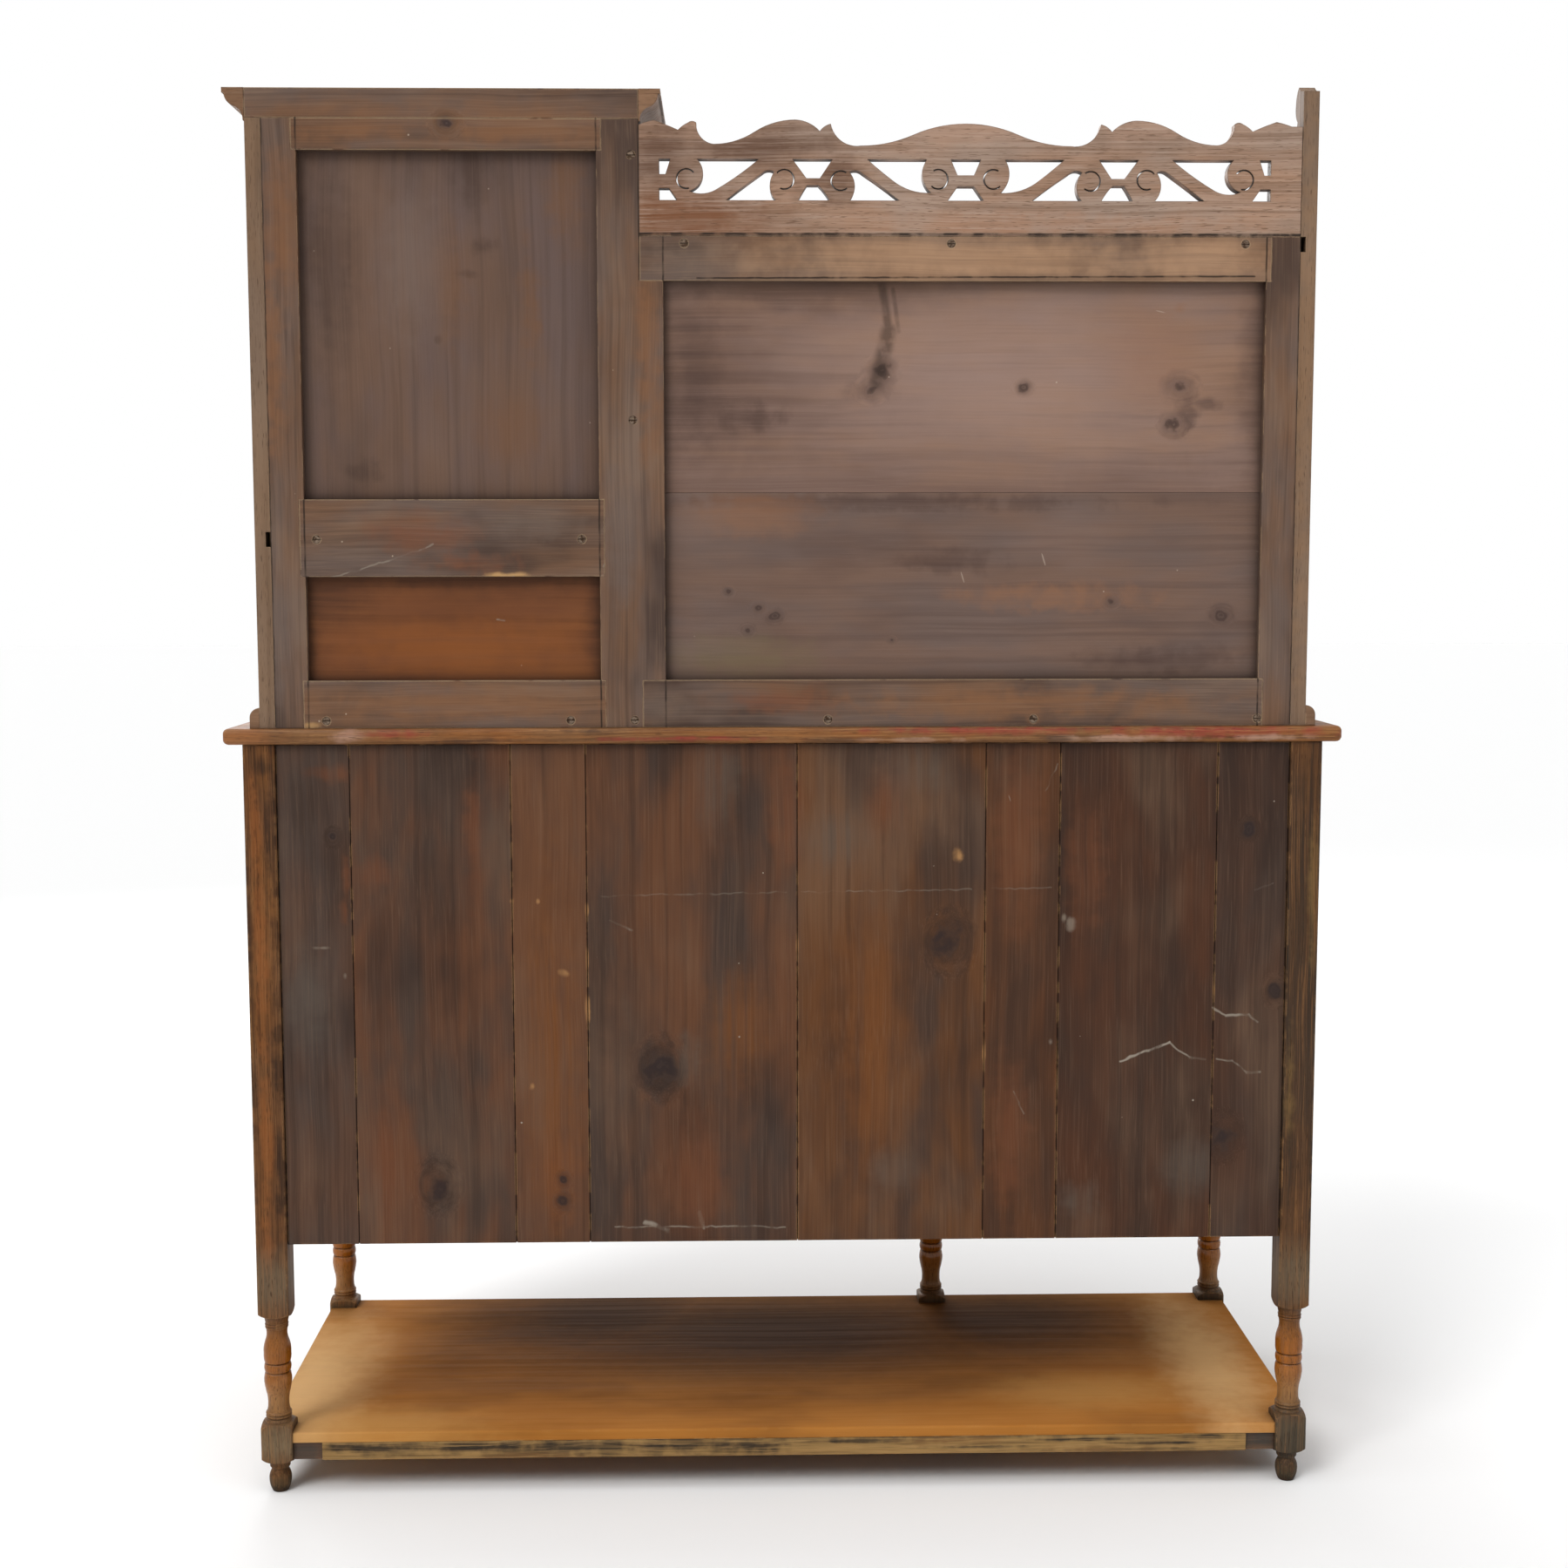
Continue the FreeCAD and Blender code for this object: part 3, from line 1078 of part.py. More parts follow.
front_rails = make_front_rails()
end_rails = make_end_rails()
end_panels = make_end_panels()
base_back_rail = make_base_back_rail()
partition = make_partition(base_back_rail)
floor = make_floor(partition)
pot_rails = make_pot_rails()
leg_joints = front_rails + end_rails + end_panels + pot_rails + [base_back_rail] + hinge_leaves
leg_joints.append(catch_pocket(doors["left"], 1))
leg_blank = make_leg_blank()
legs = {}
for name, (x, y) in leg_places.items():
    leg = leg_blank.copy()
    leg.translate(V((x[0] + x[1]) / 2, (y[0] + y[1]) / 2, 0))
    legs[name] = cut(leg, leg_joints)

cupboard_floor = make_cupboard_floor()
display_shelf = make_display_shelf()
frieze = make_frieze()
back_rails = make_back_rails()
cupboard_panel, niche_panel, open_panel = make_back_panels()
back_panels = cupboard_panel + niche_panel + open_panel
screws, screw_holes = make_screws()
outer_dado = through_back(cupboard_floor_z, (upper_in, upper_in + HOUSING_DEPTH))
end_dado = through_back(display_shelf_z, (-upper_in - HOUSING_DEPTH, -upper_in))
outer_side = box((upper_in, upper_out), (upper_front, back_y), (WORKTOP_HEIGHT, side_top))
inner_side = box((cupboard_x, cupboard_bay[0]), upper_y, (WORKTOP_HEIGHT, side_top))

nodes = dict(legs)
nodes["worktop"] = [make_worktop()]
nodes["pot_board"] = [make_pot_board()]
nodes["pot_board_rails"] = pot_rails
nodes["pot_board_batten"] = [make_batten()]
nodes["base_front_rails"] = [cut(rail, [floor, bolt_hole]) for rail in front_rails]
nodes["base_carcass_rails"] = [cut(rail, [floor] + end_panels) for rail in end_rails] + [base_back_rail]
nodes["base_end_panels"] = end_panels
nodes["base_floor"] = [floor]
nodes["base_partition"] = [partition]
nodes["drawer_runners"] = make_runners()
nodes["inner_shelves"] = make_base_shelves() + [make_cupboard_shelf()]
nodes["shelf_cleats"] = make_base_cleats() + make_cupboard_cleats()
nodes["base_back_boards"] = make_back_boards()
nodes["upper_base_boards"] = [cut(board, screw_holes) for board in make_upper_boards()]
nodes["base_beads"] = make_beads()
nodes["cupboard_outer_side"] = [cut(outer_side, [cupboard_floor, outer_dado, frieze] + hinge_leaves)]
nodes["cupboard_inner_side"] = [cut(inner_side, [cupboard_floor, display_shelf, frieze,
                                                 catch_pocket(doors["upper"], -1)] + screw_holes)]
nodes["cupboard_top"] = [make_cupboard_top()]
nodes["cupboard_floor"] = [cut(cupboard_floor, screw_holes)]
nodes["cupboard_frieze"] = [frieze]
nodes["cornice"] = make_cornice()
nodes["cornice_back_board"] = [make_cornice_back()]
nodes["back_stiles"] = make_back_stiles(back_rails + back_panels + screw_holes)
nodes["back_rails"] = [cut(rail, back_panels + screw_holes) for rail in back_rails]
nodes["cupboard_back_panel"] = cupboard_panel
nodes["niche_back_panel"] = niche_panel
nodes["open_back_panel"] = open_panel
nodes["gallery"] = [make_gallery()]
nodes["end_upright"] = [cut(make_end_upright(), [display_shelf, end_dado])]
nodes["display_shelf"] = [cut(display_shelf, screw_holes)]
nodes["back_screws"] = screws
nodes["hinge_frame_leaves"] = hinge_leaves + hinge_pins
for name, door in doors.items():
    nodes["door_" + name + "_frame"] = door["frame"]
    nodes["door_" + name + "_panel"] = door["panel"]
    nodes["door_" + name + "_hinge_leaves"] = door["leaves"]
for name, pieces in catches.items():
    nodes["catch_" + name] = pieces
nodes["door_middle_hinge_leaves"] = doors["middle"]["leaves"] + [bolt_case]
nodes["bolt_middle"] = [bolt]
for name, bay, shares in (("short", narrow_bay, SHORT_DRAWER_KNOB_SHARES),
                          ("long", wide_bay, LONG_DRAWER_KNOB_SHARES)):
    front, drawer_box, knobs = make_drawer(bay, shares)
    nodes["drawer_" + name + "_front"] = front
    nodes["drawer_" + name + "_box"] = drawer_box
    nodes["drawer_" + name + "_knobs"] = knobs

os.makedirs("parts", exist_ok=True)
for name, pieces in nodes.items():
    pieces = pieces if isinstance(pieces, list) else [pieces]
    solids = [solid for piece in pieces for solid in piece.Solids]
    Part.makeCompound(solids).exportStep(os.path.join("parts", name + ".step"))
    sound = all(solid.isValid() and solid.Volume > 0 for solid in solids)
    print(name, len(solids), "of", len(pieces), "solids", "sound" if sound else "NOT SOUND")
print(len(nodes), "nodes")
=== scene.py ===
# %% [markdown]
# A kitchen dresser, seen from behind. The joiner's model comes in as a fixed frame: every rail, door and
# drawer is already in its place, in metres. This lesson gives each piece its wood and its wear, and makes
# again, as finer surfaces, the few pieces whose planed and worn faces fill the picture.

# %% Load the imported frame
import math
from types import SimpleNamespace

import bpy
import numpy as np
from mathutils import Matrix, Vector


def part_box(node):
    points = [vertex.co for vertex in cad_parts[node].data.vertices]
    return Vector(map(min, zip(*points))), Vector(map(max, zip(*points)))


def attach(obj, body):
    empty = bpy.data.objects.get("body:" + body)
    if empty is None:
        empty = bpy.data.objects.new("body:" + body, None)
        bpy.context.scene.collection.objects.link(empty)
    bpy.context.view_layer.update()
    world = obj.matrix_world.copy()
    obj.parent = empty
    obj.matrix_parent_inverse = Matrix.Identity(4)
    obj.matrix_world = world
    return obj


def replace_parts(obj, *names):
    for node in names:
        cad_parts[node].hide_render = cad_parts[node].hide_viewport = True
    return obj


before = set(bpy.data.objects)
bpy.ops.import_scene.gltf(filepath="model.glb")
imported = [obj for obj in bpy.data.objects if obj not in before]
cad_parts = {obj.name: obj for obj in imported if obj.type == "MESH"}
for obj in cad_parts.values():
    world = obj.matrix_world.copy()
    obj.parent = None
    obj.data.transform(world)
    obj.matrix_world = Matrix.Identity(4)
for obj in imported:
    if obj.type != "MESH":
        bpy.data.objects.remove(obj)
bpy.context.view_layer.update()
MM = 0.001

# %% [markdown]
# The camera stands 2.6 m behind the dresser at chest height and looks slightly down. Its place was fitted
# once to the straight edges of the picture. Heading, tilt and roll are turned into three axes, which is
# shorter to read than Euler angles, and the focal length is counted in picture pixels.

# %% Camera
HEADING, TILT, ROLL = 0.0224, -0.1007, -0.0014
CAMERA_PLACE = (0.06014, 2.8615, 1.165)
FOCAL_PIXELS, PICTURE_PIXELS, SENSOR_MM = 2445.5, 1800, 36

forward = np.array([-math.sin(HEADING), -math.cos(HEADING), 0.0])
level = np.array([-math.cos(HEADING), math.sin(HEADING), 0.0])
ahead = math.cos(TILT) * forward + math.sin(TILT) * np.array([0.0, 0.0, 1.0])
above = np.cross(level, ahead)
right = math.cos(ROLL) * level + math.sin(ROLL) * above
upward = math.cos(ROLL) * above - math.sin(ROLL) * level
turn = Matrix(np.column_stack((right, upward, -ahead))).to_4x4()

camera = bpy.data.objects.new("camera", bpy.data.cameras.new("camera"))
camera.data.sensor_width = SENSOR_MM
camera.data.lens = FOCAL_PIXELS * SENSOR_MM / PICTURE_PIXELS
camera.matrix_world = Matrix.Translation(CAMERA_PLACE) @ turn
bpy.context.scene.collection.objects.link(camera)
bpy.context.scene.camera = camera
bpy.context.scene.view_settings.view_transform = "Standard"
print("lens", round(camera.data.lens, 1), "mm")

# %% [markdown]
# Every finish below is a small network of nodes. Two helpers carry all of them: one turns a colour written
# as an sRGB hex code into the linear numbers that the shader works in, and one adds a node, sets it, links
# it and hands back the output that the next node needs.

# %% Colours and nodes


def linear(code):
    """sRGB hex to linear: each channel is divided by 12.92 near black, and raised to 2.4 above that."""
    srgb = np.array([int(code[at:at + 2], 16) for at in (1, 3, 5)]) / 255
    return (*np.where(srgb <= 0.04045, srgb / 12.92, ((srgb + 0.055) / 1.055) ** 2.4), 1.0)


def add(tree, kind, sockets, output=None, **settings):
    """Adds a node and gives an output of it, the first in use unless one is named. Settings are its
    properties. Each socket, given by name or number, gets a value or a link."""
    made = tree.nodes.new("ShaderNode" + kind)
    for name, value in settings.items():
        setattr(made, name, value)
    for key, value in sockets.items():
        socket = next(s for at, s in enumerate(made.inputs) if s.enabled and key in (at, s.name))
        if isinstance(value, bpy.types.NodeSocket):
            tree.links.new(value, socket)
        else:
            socket.default_value = value
    return made.outputs[output] if output else next(s for s in made.outputs if s.enabled)


print("linear mid brown", np.round(linear("#5a4030"), 3).tolist())

# %% [markdown]
# Wood grain is noise that has been pulled long in one direction. It could be drawn as rings round a trunk
# and cut, but a board shows so little of a ring that long cells look the same and are easier to steer. No
# board is quite straight, so a slow second noise bends the lines before they are read.

# %% Grain
WAVER_SIZE, WAVER_REACH = 210.0, 12.0
STREAK_ROUGHNESS = 0.58
ACROSS = {"X": (0, 1, 1), "Y": (1, 0, 1), "Z": (1, 1, 0)}


def shaken(tree, place, size, reach):
    """Coordinates plus a noise less a half, times the reach; cell size and reach are in millimetres."""
    noise = add(tree, "TexNoise", {"Vector": place, "Scale": 1 / (size * MM), "Detail": 1.0}, "Color")
    shift = add(tree, "VectorMath", {0: noise, 1: (0.5, 0.5, 0.5)}, operation="SUBTRACT")
    shift = add(tree, "VectorMath", {0: shift, "Scale": reach * MM}, operation="SCALE")
    return add(tree, "VectorMath", {0: place, 1: shift}, operation="ADD")


def streaks(tree, lines, axis, width, run, detail):
    """Noise whose cells are width across the grain and run along it, both in millimetres."""
    cell = [1 / ((width if across else run) * MM) for across in ACROSS[axis]]
    scaled = add(tree, "VectorMath", {0: lines, 1: cell}, operation="MULTIPLY")
    return add(tree, "TexNoise", {"Vector": scaled, "Scale": 1.0, "Detail": detail,
                                  "Roughness": STREAK_ROUGHNESS})


def turned_grain(tree, place, span):
    """Swaps X and Z between two X values, so that a door's rails get level grain and its stiles upright."""
    parts = add(tree, "SeparateXYZ", {"Vector": place}).node.outputs
    middle, half = (span[0] + span[1]) / 2 * MM, (span[1] - span[0]) / 2 * MM
    inside = add(tree, "Math", {0: parts["X"], 1: middle, 2: half}, operation="COMPARE")
    swapped = add(tree, "CombineXYZ", {"X": parts["Z"], "Y": parts["Y"], "Z": parts["X"]})
    return add(tree, "Mix", {"Factor": inside, "A": place, "B": swapped}, data_type="VECTOR")


print("grain along", ", ".join(ACROSS))

# %% [markdown]
# A knot is a branch that the trunk grew round, so the rings part in front of it and close behind it. Here
# the lines of the grain are pulled towards each knot before the noise is read, and the distance to the
# nearest knot is kept, to colour its heart and its halo later.

# %% Knots
KNOT_PULL, KNOT_REACH, KNOT_STRETCH = 0.15, 2.4, 1.2
# Map Range eases its value (0) from one range (1 to 2) into another (3 to 4)
EASED = {"interpolation_type": "SMOOTHSTEP"}


def reach_of(tree, place, x, z, wide, high):
    """The way from a point of the back face, and its length in half widths across and half heights up."""
    away = add(tree, "VectorMath", {0: place, 1: (x * MM, 0, z * MM)}, operation="SUBTRACT")
    shares = (1 / (wide * MM), 0, 1 / (high * MM))
    flat = add(tree, "VectorMath", {0: away, 1: shares}, operation="MULTIPLY")
    return away, add(tree, "VectorMath", {0: flat}, operation="LENGTH")


def round_knots(tree, place, lines, knots, axis):
    """Squeezes the lines towards each knot, and gives the distance to the nearest one in knot radii."""
    nearest = None
    for x, z, radius in knots:
        tall = radius * KNOT_STRETCH
        away, far = reach_of(tree, place, x, z, *((tall, radius) if axis == "X" else (radius, tall)))
        pull = add(tree, "MapRange", {0: far, 1: 0.0, 2: KNOT_REACH, 3: KNOT_PULL, 4: 0.0}, **EASED)
        back = add(tree, "VectorMath", {0: away, "Scale": pull}, operation="SCALE")
        lines = add(tree, "VectorMath", {0: lines, 1: back}, operation="SUBTRACT")
        nearest = far if nearest is None else add(tree, "Math", {0: nearest, 1: far}, operation="MINIMUM")
    return lines, nearest


print("a knot bends the grain over", KNOT_REACH, "of its radii")

# %% [markdown]
# Age leaves patches where the stain wore thin or dust settled, and a few patches here are painted shade where
# one part shades another, and painted light where light comes in. They could be painted by hand on a picture,
# but a soft ellipse with a ragged edge, broken up by the streaks of the grain, stays sharp at any distance
# and can be moved by two numbers.

# %% Coats and patches
RAGGED_BY, MOST_RAGGED, RAGGED_NOISE = 14.0, 1.1, (0.25, 0.75)
SPOT_EDGE, GRAIN_BREAK = (1.5, 0.1), (0.3, 0.62)


def coat(tree, colour, code, mask, window, most):
    """Lays a colour over another. Its share eases up to the most while the mask goes through the window."""
    share = add(tree, "MapRange", {0: mask, 1: window[0], 2: window[1], 4: most}, **EASED)
    return add(tree, "Mix", {"Factor": share, "A": colour, "B": linear(code)}, data_type="RGBA")


def ragged(tree, far, broken, size):
    """Moves a distance in and out by a noise of some millimetres, so that a spot's outline is uneven."""
    share = min(MOST_RAGGED, RAGGED_BY / size) / 2
    low, high = RAGGED_NOISE
    uneven = add(tree, "MapRange", {0: broken, 1: low, 2: high, 3: -share, 4: share}, **EASED)
    return add(tree, "Math", {0: uneven, 1: far}, operation="ADD")


def patches(tree, place, spots, strength, broken, bands, evenness):
    """Share of a mark: it falls from its strength to nothing at the ragged edge of the nearest spot, and the
    streaks of the grain thin it down to its evenness."""
    nearest = None
    for x, z, wide, high in spots:
        far = ragged(tree, reach_of(tree, place, x, z, wide, high)[1], broken, min(wide, high))
        nearest = far if nearest is None else add(tree, "Math", {0: nearest, 1: far}, operation="MINIMUM")
    low, high = GRAIN_BREAK
    thinned = add(tree, "MapRange", {0: bands, 1: low, 2: high, 3: strength * evenness, 4: strength}, **EASED)
    return add(tree, "MapRange", {0: nearest, 1: SPOT_EDGE[0], 2: SPOT_EDGE[1], 4: thinned}, **EASED)


print("spots have outlines uneven by up to", RAGGED_BY, "mm")

# %% [markdown]
# Scratches and open joints are distances to a line, so they are as thin as they should be on any mesh. The
# tiny pale drops and the short dashes are the middles of random cells; a dash is a drop in coordinates that
# were turned and squeezed.

# %% Scratches and drops
SHAKE_SIZE, LINE_CORE, LINE_EDGE = 14.0, 0.3, 1.3
FADE_NOISE, FADE_MOST = (0.4, 0.56), 0.95
DROP_CHOICE = (0.5, 1.0)


def scratched(tree, place, colour, code, lines, broken, shake, least):
    """Lays a colour on some line pieces: the point is dropped on each line, held between its ends, and its
    distance is compared with the line's width. Shaking bends the lines, and the noise fades them."""
    place = shaken(tree, place, SHAKE_SIZE, shake)
    total = None
    for x0, z0, x1, z1, width, strength in lines:
        start, run = (x0 * MM, 0, z0 * MM), np.array([x1 - x0, 0, z1 - z0]) * MM
        core, edge = LINE_CORE * width * MM, LINE_EDGE * width * MM
        away = add(tree, "VectorMath", {0: place, 1: start}, operation="SUBTRACT")
        flat = add(tree, "VectorMath", {0: away, 1: (1, 0, 1)}, operation="MULTIPLY")
        dropped = add(tree, "VectorMath", {0: flat, 1: run / (run @ run)}, operation="DOT_PRODUCT")
        held = add(tree, "Math", {0: dropped, 1: 0.0}, operation="ADD", use_clamp=True)
        foot = add(tree, "VectorMath", {0: run, "Scale": held}, operation="SCALE")
        gap = add(tree, "VectorMath", {0: flat, 1: foot}, operation="DISTANCE")
        near = add(tree, "MapRange", {0: gap, 1: core, 2: edge, 3: strength, 4: 0.0}, **EASED)
        total = near if total is None else add(tree, "Math", {0: total, 1: near}, operation="MAXIMUM")
    low, high = FADE_NOISE
    fade = add(tree, "MapRange", {0: broken, 1: low, 2: high, 3: least, 4: FADE_MOST}, **EASED)
    share = add(tree, "Math", {0: total, 1: fade}, operation="MULTIPLY")
    return add(tree, "Mix", {"Factor": share, "A": colour, "B": linear(code)}, data_type="RGBA")


def drops(tree, place, spacing, share):
    """1 inside a drop and 0 outside: a drop is the middle of a random cell, up to a share of its spacing."""
    cells = add(tree, "TexVoronoi", {"Vector": place, "Scale": 1 / (spacing * MM)}).node.outputs
    chosen = add(tree, "SeparateColor", {"Color": cells["Color"]})
    size = add(tree, "MapRange", {0: chosen, 1: DROP_CHOICE[0], 2: DROP_CHOICE[1], 4: share}, **EASED)
    return add(tree, "Math", {0: size, 1: cells["Distance"]}, operation="GREATER_THAN")


print("a line fades out between", LINE_CORE, "and", LINE_EDGE, "of its width")

# %% [markdown]
# One recipe makes every wood on the dresser, and pine, oak and bare wood differ only in what they are told.
# This table says what can be told, and what a wood is like when nothing is said. Keeping it apart from the
# code makes each wood further down a short list of what is special about it.

# %% What a wood can be told
# Lengths are in millimetres. A spot is (x, z, half width, half height), a line is (x, z, x, z, width,
# strength) and a knot is (x, z, radius), all on the back face.
PLAIN_WOOD = dict(
    cloud=70.0, band=15.0, fibre=1.7,  # widths of clouds of stain, streaks of growth and fibres. Real fibres
    # are too fine to show, so these are as coarse as they need to be.
    run=420.0,  # how far the streaks keep their line
    shade=0.4, streak=0.3, fleck=0.11,  # how strongly clouds, streaks and fibres show
    shift=0.0,  # metres that the grain is moved by, so that no two boards are alike
    span=None,  # two X values between which the grain lies level
    level=False,  # a level piece has its marks on its top, so its Y and Z change places
    washes=(),  # (colour, strength, spots)
    evenness=0.65, behind=None,  # what the grain leaves of a wash, and the Y value that it begins behind
    knots=(), knot="#332828",  # knots and the colour of their hearts
    scratches=(), scratch="#93887a", seams=(),  # lines of scratches, their colour, and lines of open joints
    pore=None,  # colour of open pores
    # The next key darkens corners and recesses: part dirt, part painted shade
    grime=None,  # (colour, reach, strength) of the dirt in corners
    wear=None,  # (colour, roundness, amount) of the rubbed edges
    speck=None,  # colour of tiny drops and dashes
    polish=(),  # spots that are rubbed to a shine
    rough=(0.5, 0.66),  # roughness from one streak to the next
    sheen=0.16)  # reflection, where 0.5 is a clean film's; dust and dry stain break it up
print(len(PLAIN_WOOD), "things a wood can be told")

# %% [markdown]
# Stain never takes evenly. Clouds as wide as a hand turn warm or grey, streaks of a centimetre or two follow
# the growth rings, and fibres under two millimetres give the fine lines. Each layer is laid over the last:
# wood and stain, then the washes of wear and of painted shade and light, and the fibres over them, because
# they show through all the rest.

# %% Stain on the grain
CLOUD_RUN, SHADE_SIZE, SHADE_RUN, BAND_RUN, FIBRE_RUN = 3.2, 1.7, 4.5, 2.2, 0.4
WARM_CLOUDS, DARK_SHADES, PALE_SHADES, PALE_PART = (0.32, 0.68), (0.5, 0.3), (0.5, 0.72), 0.5
DARK_BANDS, PALE_FIBRES, DARK_FIBRES = (0.47, 0.7), (0.48, 0.74), (0.5, 0.26)
REAR_FADE = 12.0


def grain_of(tree, place, axis, look):
    """The lines of a wood's grain, four noises read along them, and the distance to the nearest knot."""
    turned = turned_grain(tree, place, look.span) if look.span else place
    moved = add(tree, "VectorMath", {0: turned, 1: (look.shift,) * 3}, operation="ADD")
    waved = shaken(tree, moved, WAVER_SIZE, WAVER_REACH)
    lines, nearest = round_knots(tree, place, waved, look.knots, axis)
    return SimpleNamespace(
        lines=lines, nearest=nearest,
        clouds=streaks(tree, lines, axis, look.cloud, look.cloud * CLOUD_RUN, detail=3.0),
        shades=streaks(tree, lines, axis, look.cloud * SHADE_SIZE, look.cloud * SHADE_RUN, detail=3.0),
        bands=streaks(tree, lines, axis, look.band, look.run * BAND_RUN, detail=2.0),
        fibres=streaks(tree, lines, axis, look.fibre, look.run * FIBRE_RUN, detail=3.0))


def stained(tree, place, grain, broken, tones, look):
    """Colour of the wood: plain and warm by the clouds, deep and pale by the shades and streaks, then the
    washes, and the fibres over all of them."""
    plain, warm, deep, pale = tones
    colour = coat(tree, linear(plain), warm, grain.clouds, WARM_CLOUDS, 1.0)
    colour = coat(tree, colour, deep, grain.shades, DARK_SHADES, look.shade)
    colour = coat(tree, colour, pale, grain.shades, PALE_SHADES, look.shade * PALE_PART)
    colour = coat(tree, colour, deep, grain.bands, DARK_BANDS, look.streak)
    for code, strength, spots in look.washes:
        if not spots:
            continue
        share = patches(tree, place, spots, strength, broken, grain.bands, look.evenness)
        if look.behind:
            depth = add(tree, "SeparateXYZ", {"Vector": place}, "Y")
            begin, end = (look.behind - REAR_FADE) * MM, look.behind * MM
            share = add(tree, "MapRange", {0: depth, 1: begin, 2: end, 4: share}, **EASED)
        colour = add(tree, "Mix", {"Factor": share, "A": colour, "B": linear(code)}, data_type="RGBA")
    colour = coat(tree, colour, pale, grain.fibres, PALE_FIBRES, look.fleck)
    return coat(tree, colour, deep, grain.fibres, DARK_FIBRES, look.fleck)


print("fibres keep their line for", PLAIN_WOOD["run"] * FIBRE_RUN, "mm")

# %% [markdown]
# Oak has open pores that hold the stain, and pine has knots with a dark heart, a softer halo and rings that
# can still be counted. A ring texture could draw them, but a sine of the distance to the knot also follows
# the knot's ragged outline.

# %% Pores and knots
PORE_WIDTH, PORE_RUN, PORE_NOISE, PORE_SHARE = 0.9, 15.0, (0.6, 0.72), 0.7
KNOT_HALO, HALO_SHARE, KNOT_HEART, HEART_SHARE = (2.2, 0.7), 0.45, (1.1, 0.45), 0.85
KNOT_RINGS, RING_CREST, RING_END, RING_SHARE = 9.0, (0.1, 1.0), (1.5, 1.0), 0.28


def grown(tree, colour, grain, broken, axis, tones, look):
    """Adds what the tree grew: open pores, and knots whose rings are a sine of the distance."""
    plain, _, deep, _ = tones
    if look.pore:
        pores = streaks(tree, grain.lines, axis, PORE_WIDTH, PORE_RUN, detail=1.0)
        colour = coat(tree, colour, look.pore, pores, PORE_NOISE, PORE_SHARE)
    if look.knots:
        uneven = ragged(tree, grain.nearest, broken, RAGGED_BY)
        colour = coat(tree, colour, deep, uneven, KNOT_HALO, HALO_SHARE)
        colour = coat(tree, colour, look.knot, uneven, KNOT_HEART, HEART_SHARE)
        phase = add(tree, "Math", {0: uneven, 1: KNOT_RINGS}, operation="MULTIPLY")
        rings = add(tree, "Math", {0: phase}, operation="SINE")
        most = add(tree, "MapRange", {0: uneven, 1: RING_END[0], 2: RING_END[1], 4: RING_SHARE}, **EASED)
        colour = coat(tree, colour, plain, rings, RING_CREST, most)
    return colour


print("rings end at", RING_END[0], "radii from the middle of a knot")

# %% [markdown]
# Then come the marks of use and some painted shade. Rubbed edges are found by comparing the true normal with
# a rounded one, and darker corners by how much sky a point can see; that darkening is part dirt and part
# painted shade in corners, grooves and recesses. Both follow the shape by themselves, so no picture has to be
# painted again when a piece changes.

# %% Marks of use and painted shade
SKY_SEEN, EDGE_TURN, WEAR_NOISE = (0.92, 0.3), (0.99, 0.86), (0.66, 0.76)
DROP_SPACING, DROP_SHARE, DROP_STRENGTH = 30.0, 0.042, 0.8
DASH_SPACING, DASH_SHARE, DASH_STRENGTH, DASH_STRETCH, DASH_TILTS = 26.0, 0.034, 0.45, 9.0, (0.3, 1.35)
SCRATCH_SHAKE, SCRATCH_LEAST, SEAM_SHAKE, SEAM_LEAST, SEAM_COLOUR = 6.0, 0.15, 1.0, 0.5, "#1f1610"
WHOLE = (0.0, 1.0)


def aged(tree, place, colour, broken, rounded_normal, look):
    """Adds darker corners, part dirt and part painted shade, and what use left: rubbed edges, drops and
    dashes, scratches and open joints.
    """
    if look.grime:
        code, reach, strength = look.grime
        # Darker where little sky is seen: dirt, and painted shade in corners, grooves and recesses
        sky = add(tree, "AmbientOcclusion", {"Distance": reach * MM}, "AO", samples=2)
        colour = coat(tree, colour, code, sky, SKY_SEEN, strength)
    if look.wear:
        code, _, amount = look.wear
        true = add(tree, "NewGeometry", {}, "True Normal")
        same = add(tree, "VectorMath", {0: rounded_normal, 1: true}, operation="DOT_PRODUCT")
        low, high = WEAR_NOISE[0] - amount, WEAR_NOISE[1] - amount
        most = add(tree, "MapRange", {0: broken, 1: low, 2: high}, **EASED)
        colour = coat(tree, colour, code, same, EDGE_TURN, most)
    if look.speck:
        spots = drops(tree, place, DROP_SPACING, DROP_SHARE)
        colour = coat(tree, colour, look.speck, spots, WHOLE, DROP_STRENGTH)
        for tilt in DASH_TILTS:
            # Coordinates turned about Y and squeezed along the new Z make long drops
            turned = add(tree, "Mapping", {"Vector": place, "Rotation": (0, tilt, 0),
                                           "Scale": (1, 1, DASH_STRETCH)}, vector_type="TEXTURE")
            dashes = drops(tree, turned, DASH_SPACING, DASH_SHARE)
            colour = coat(tree, colour, look.speck, dashes, WHOLE, DASH_STRENGTH)
    for code, lines, shake, least in ((look.scratch, look.scratches, SCRATCH_SHAKE, SCRATCH_LEAST),
                                      (SEAM_COLOUR, look.seams, SEAM_SHAKE, SEAM_LEAST)):
        if lines:
            colour = scratched(tree, place, colour, code, lines, broken, shake, least)
    return colour


print("largest drops", round(2 * DROP_SPACING * DROP_SHARE, 1), "mm wide")

# %% [markdown]
# The index of wood and varnish is near 1.5, but dry stain and dust break the film up, so only a part of that
# reflection is left. Where the turnings are rubbed they shine again under a thin amber film. The fibres lift
# the surface by up to a tenth of a millimetre, and every edge is a little round, which catches the light.

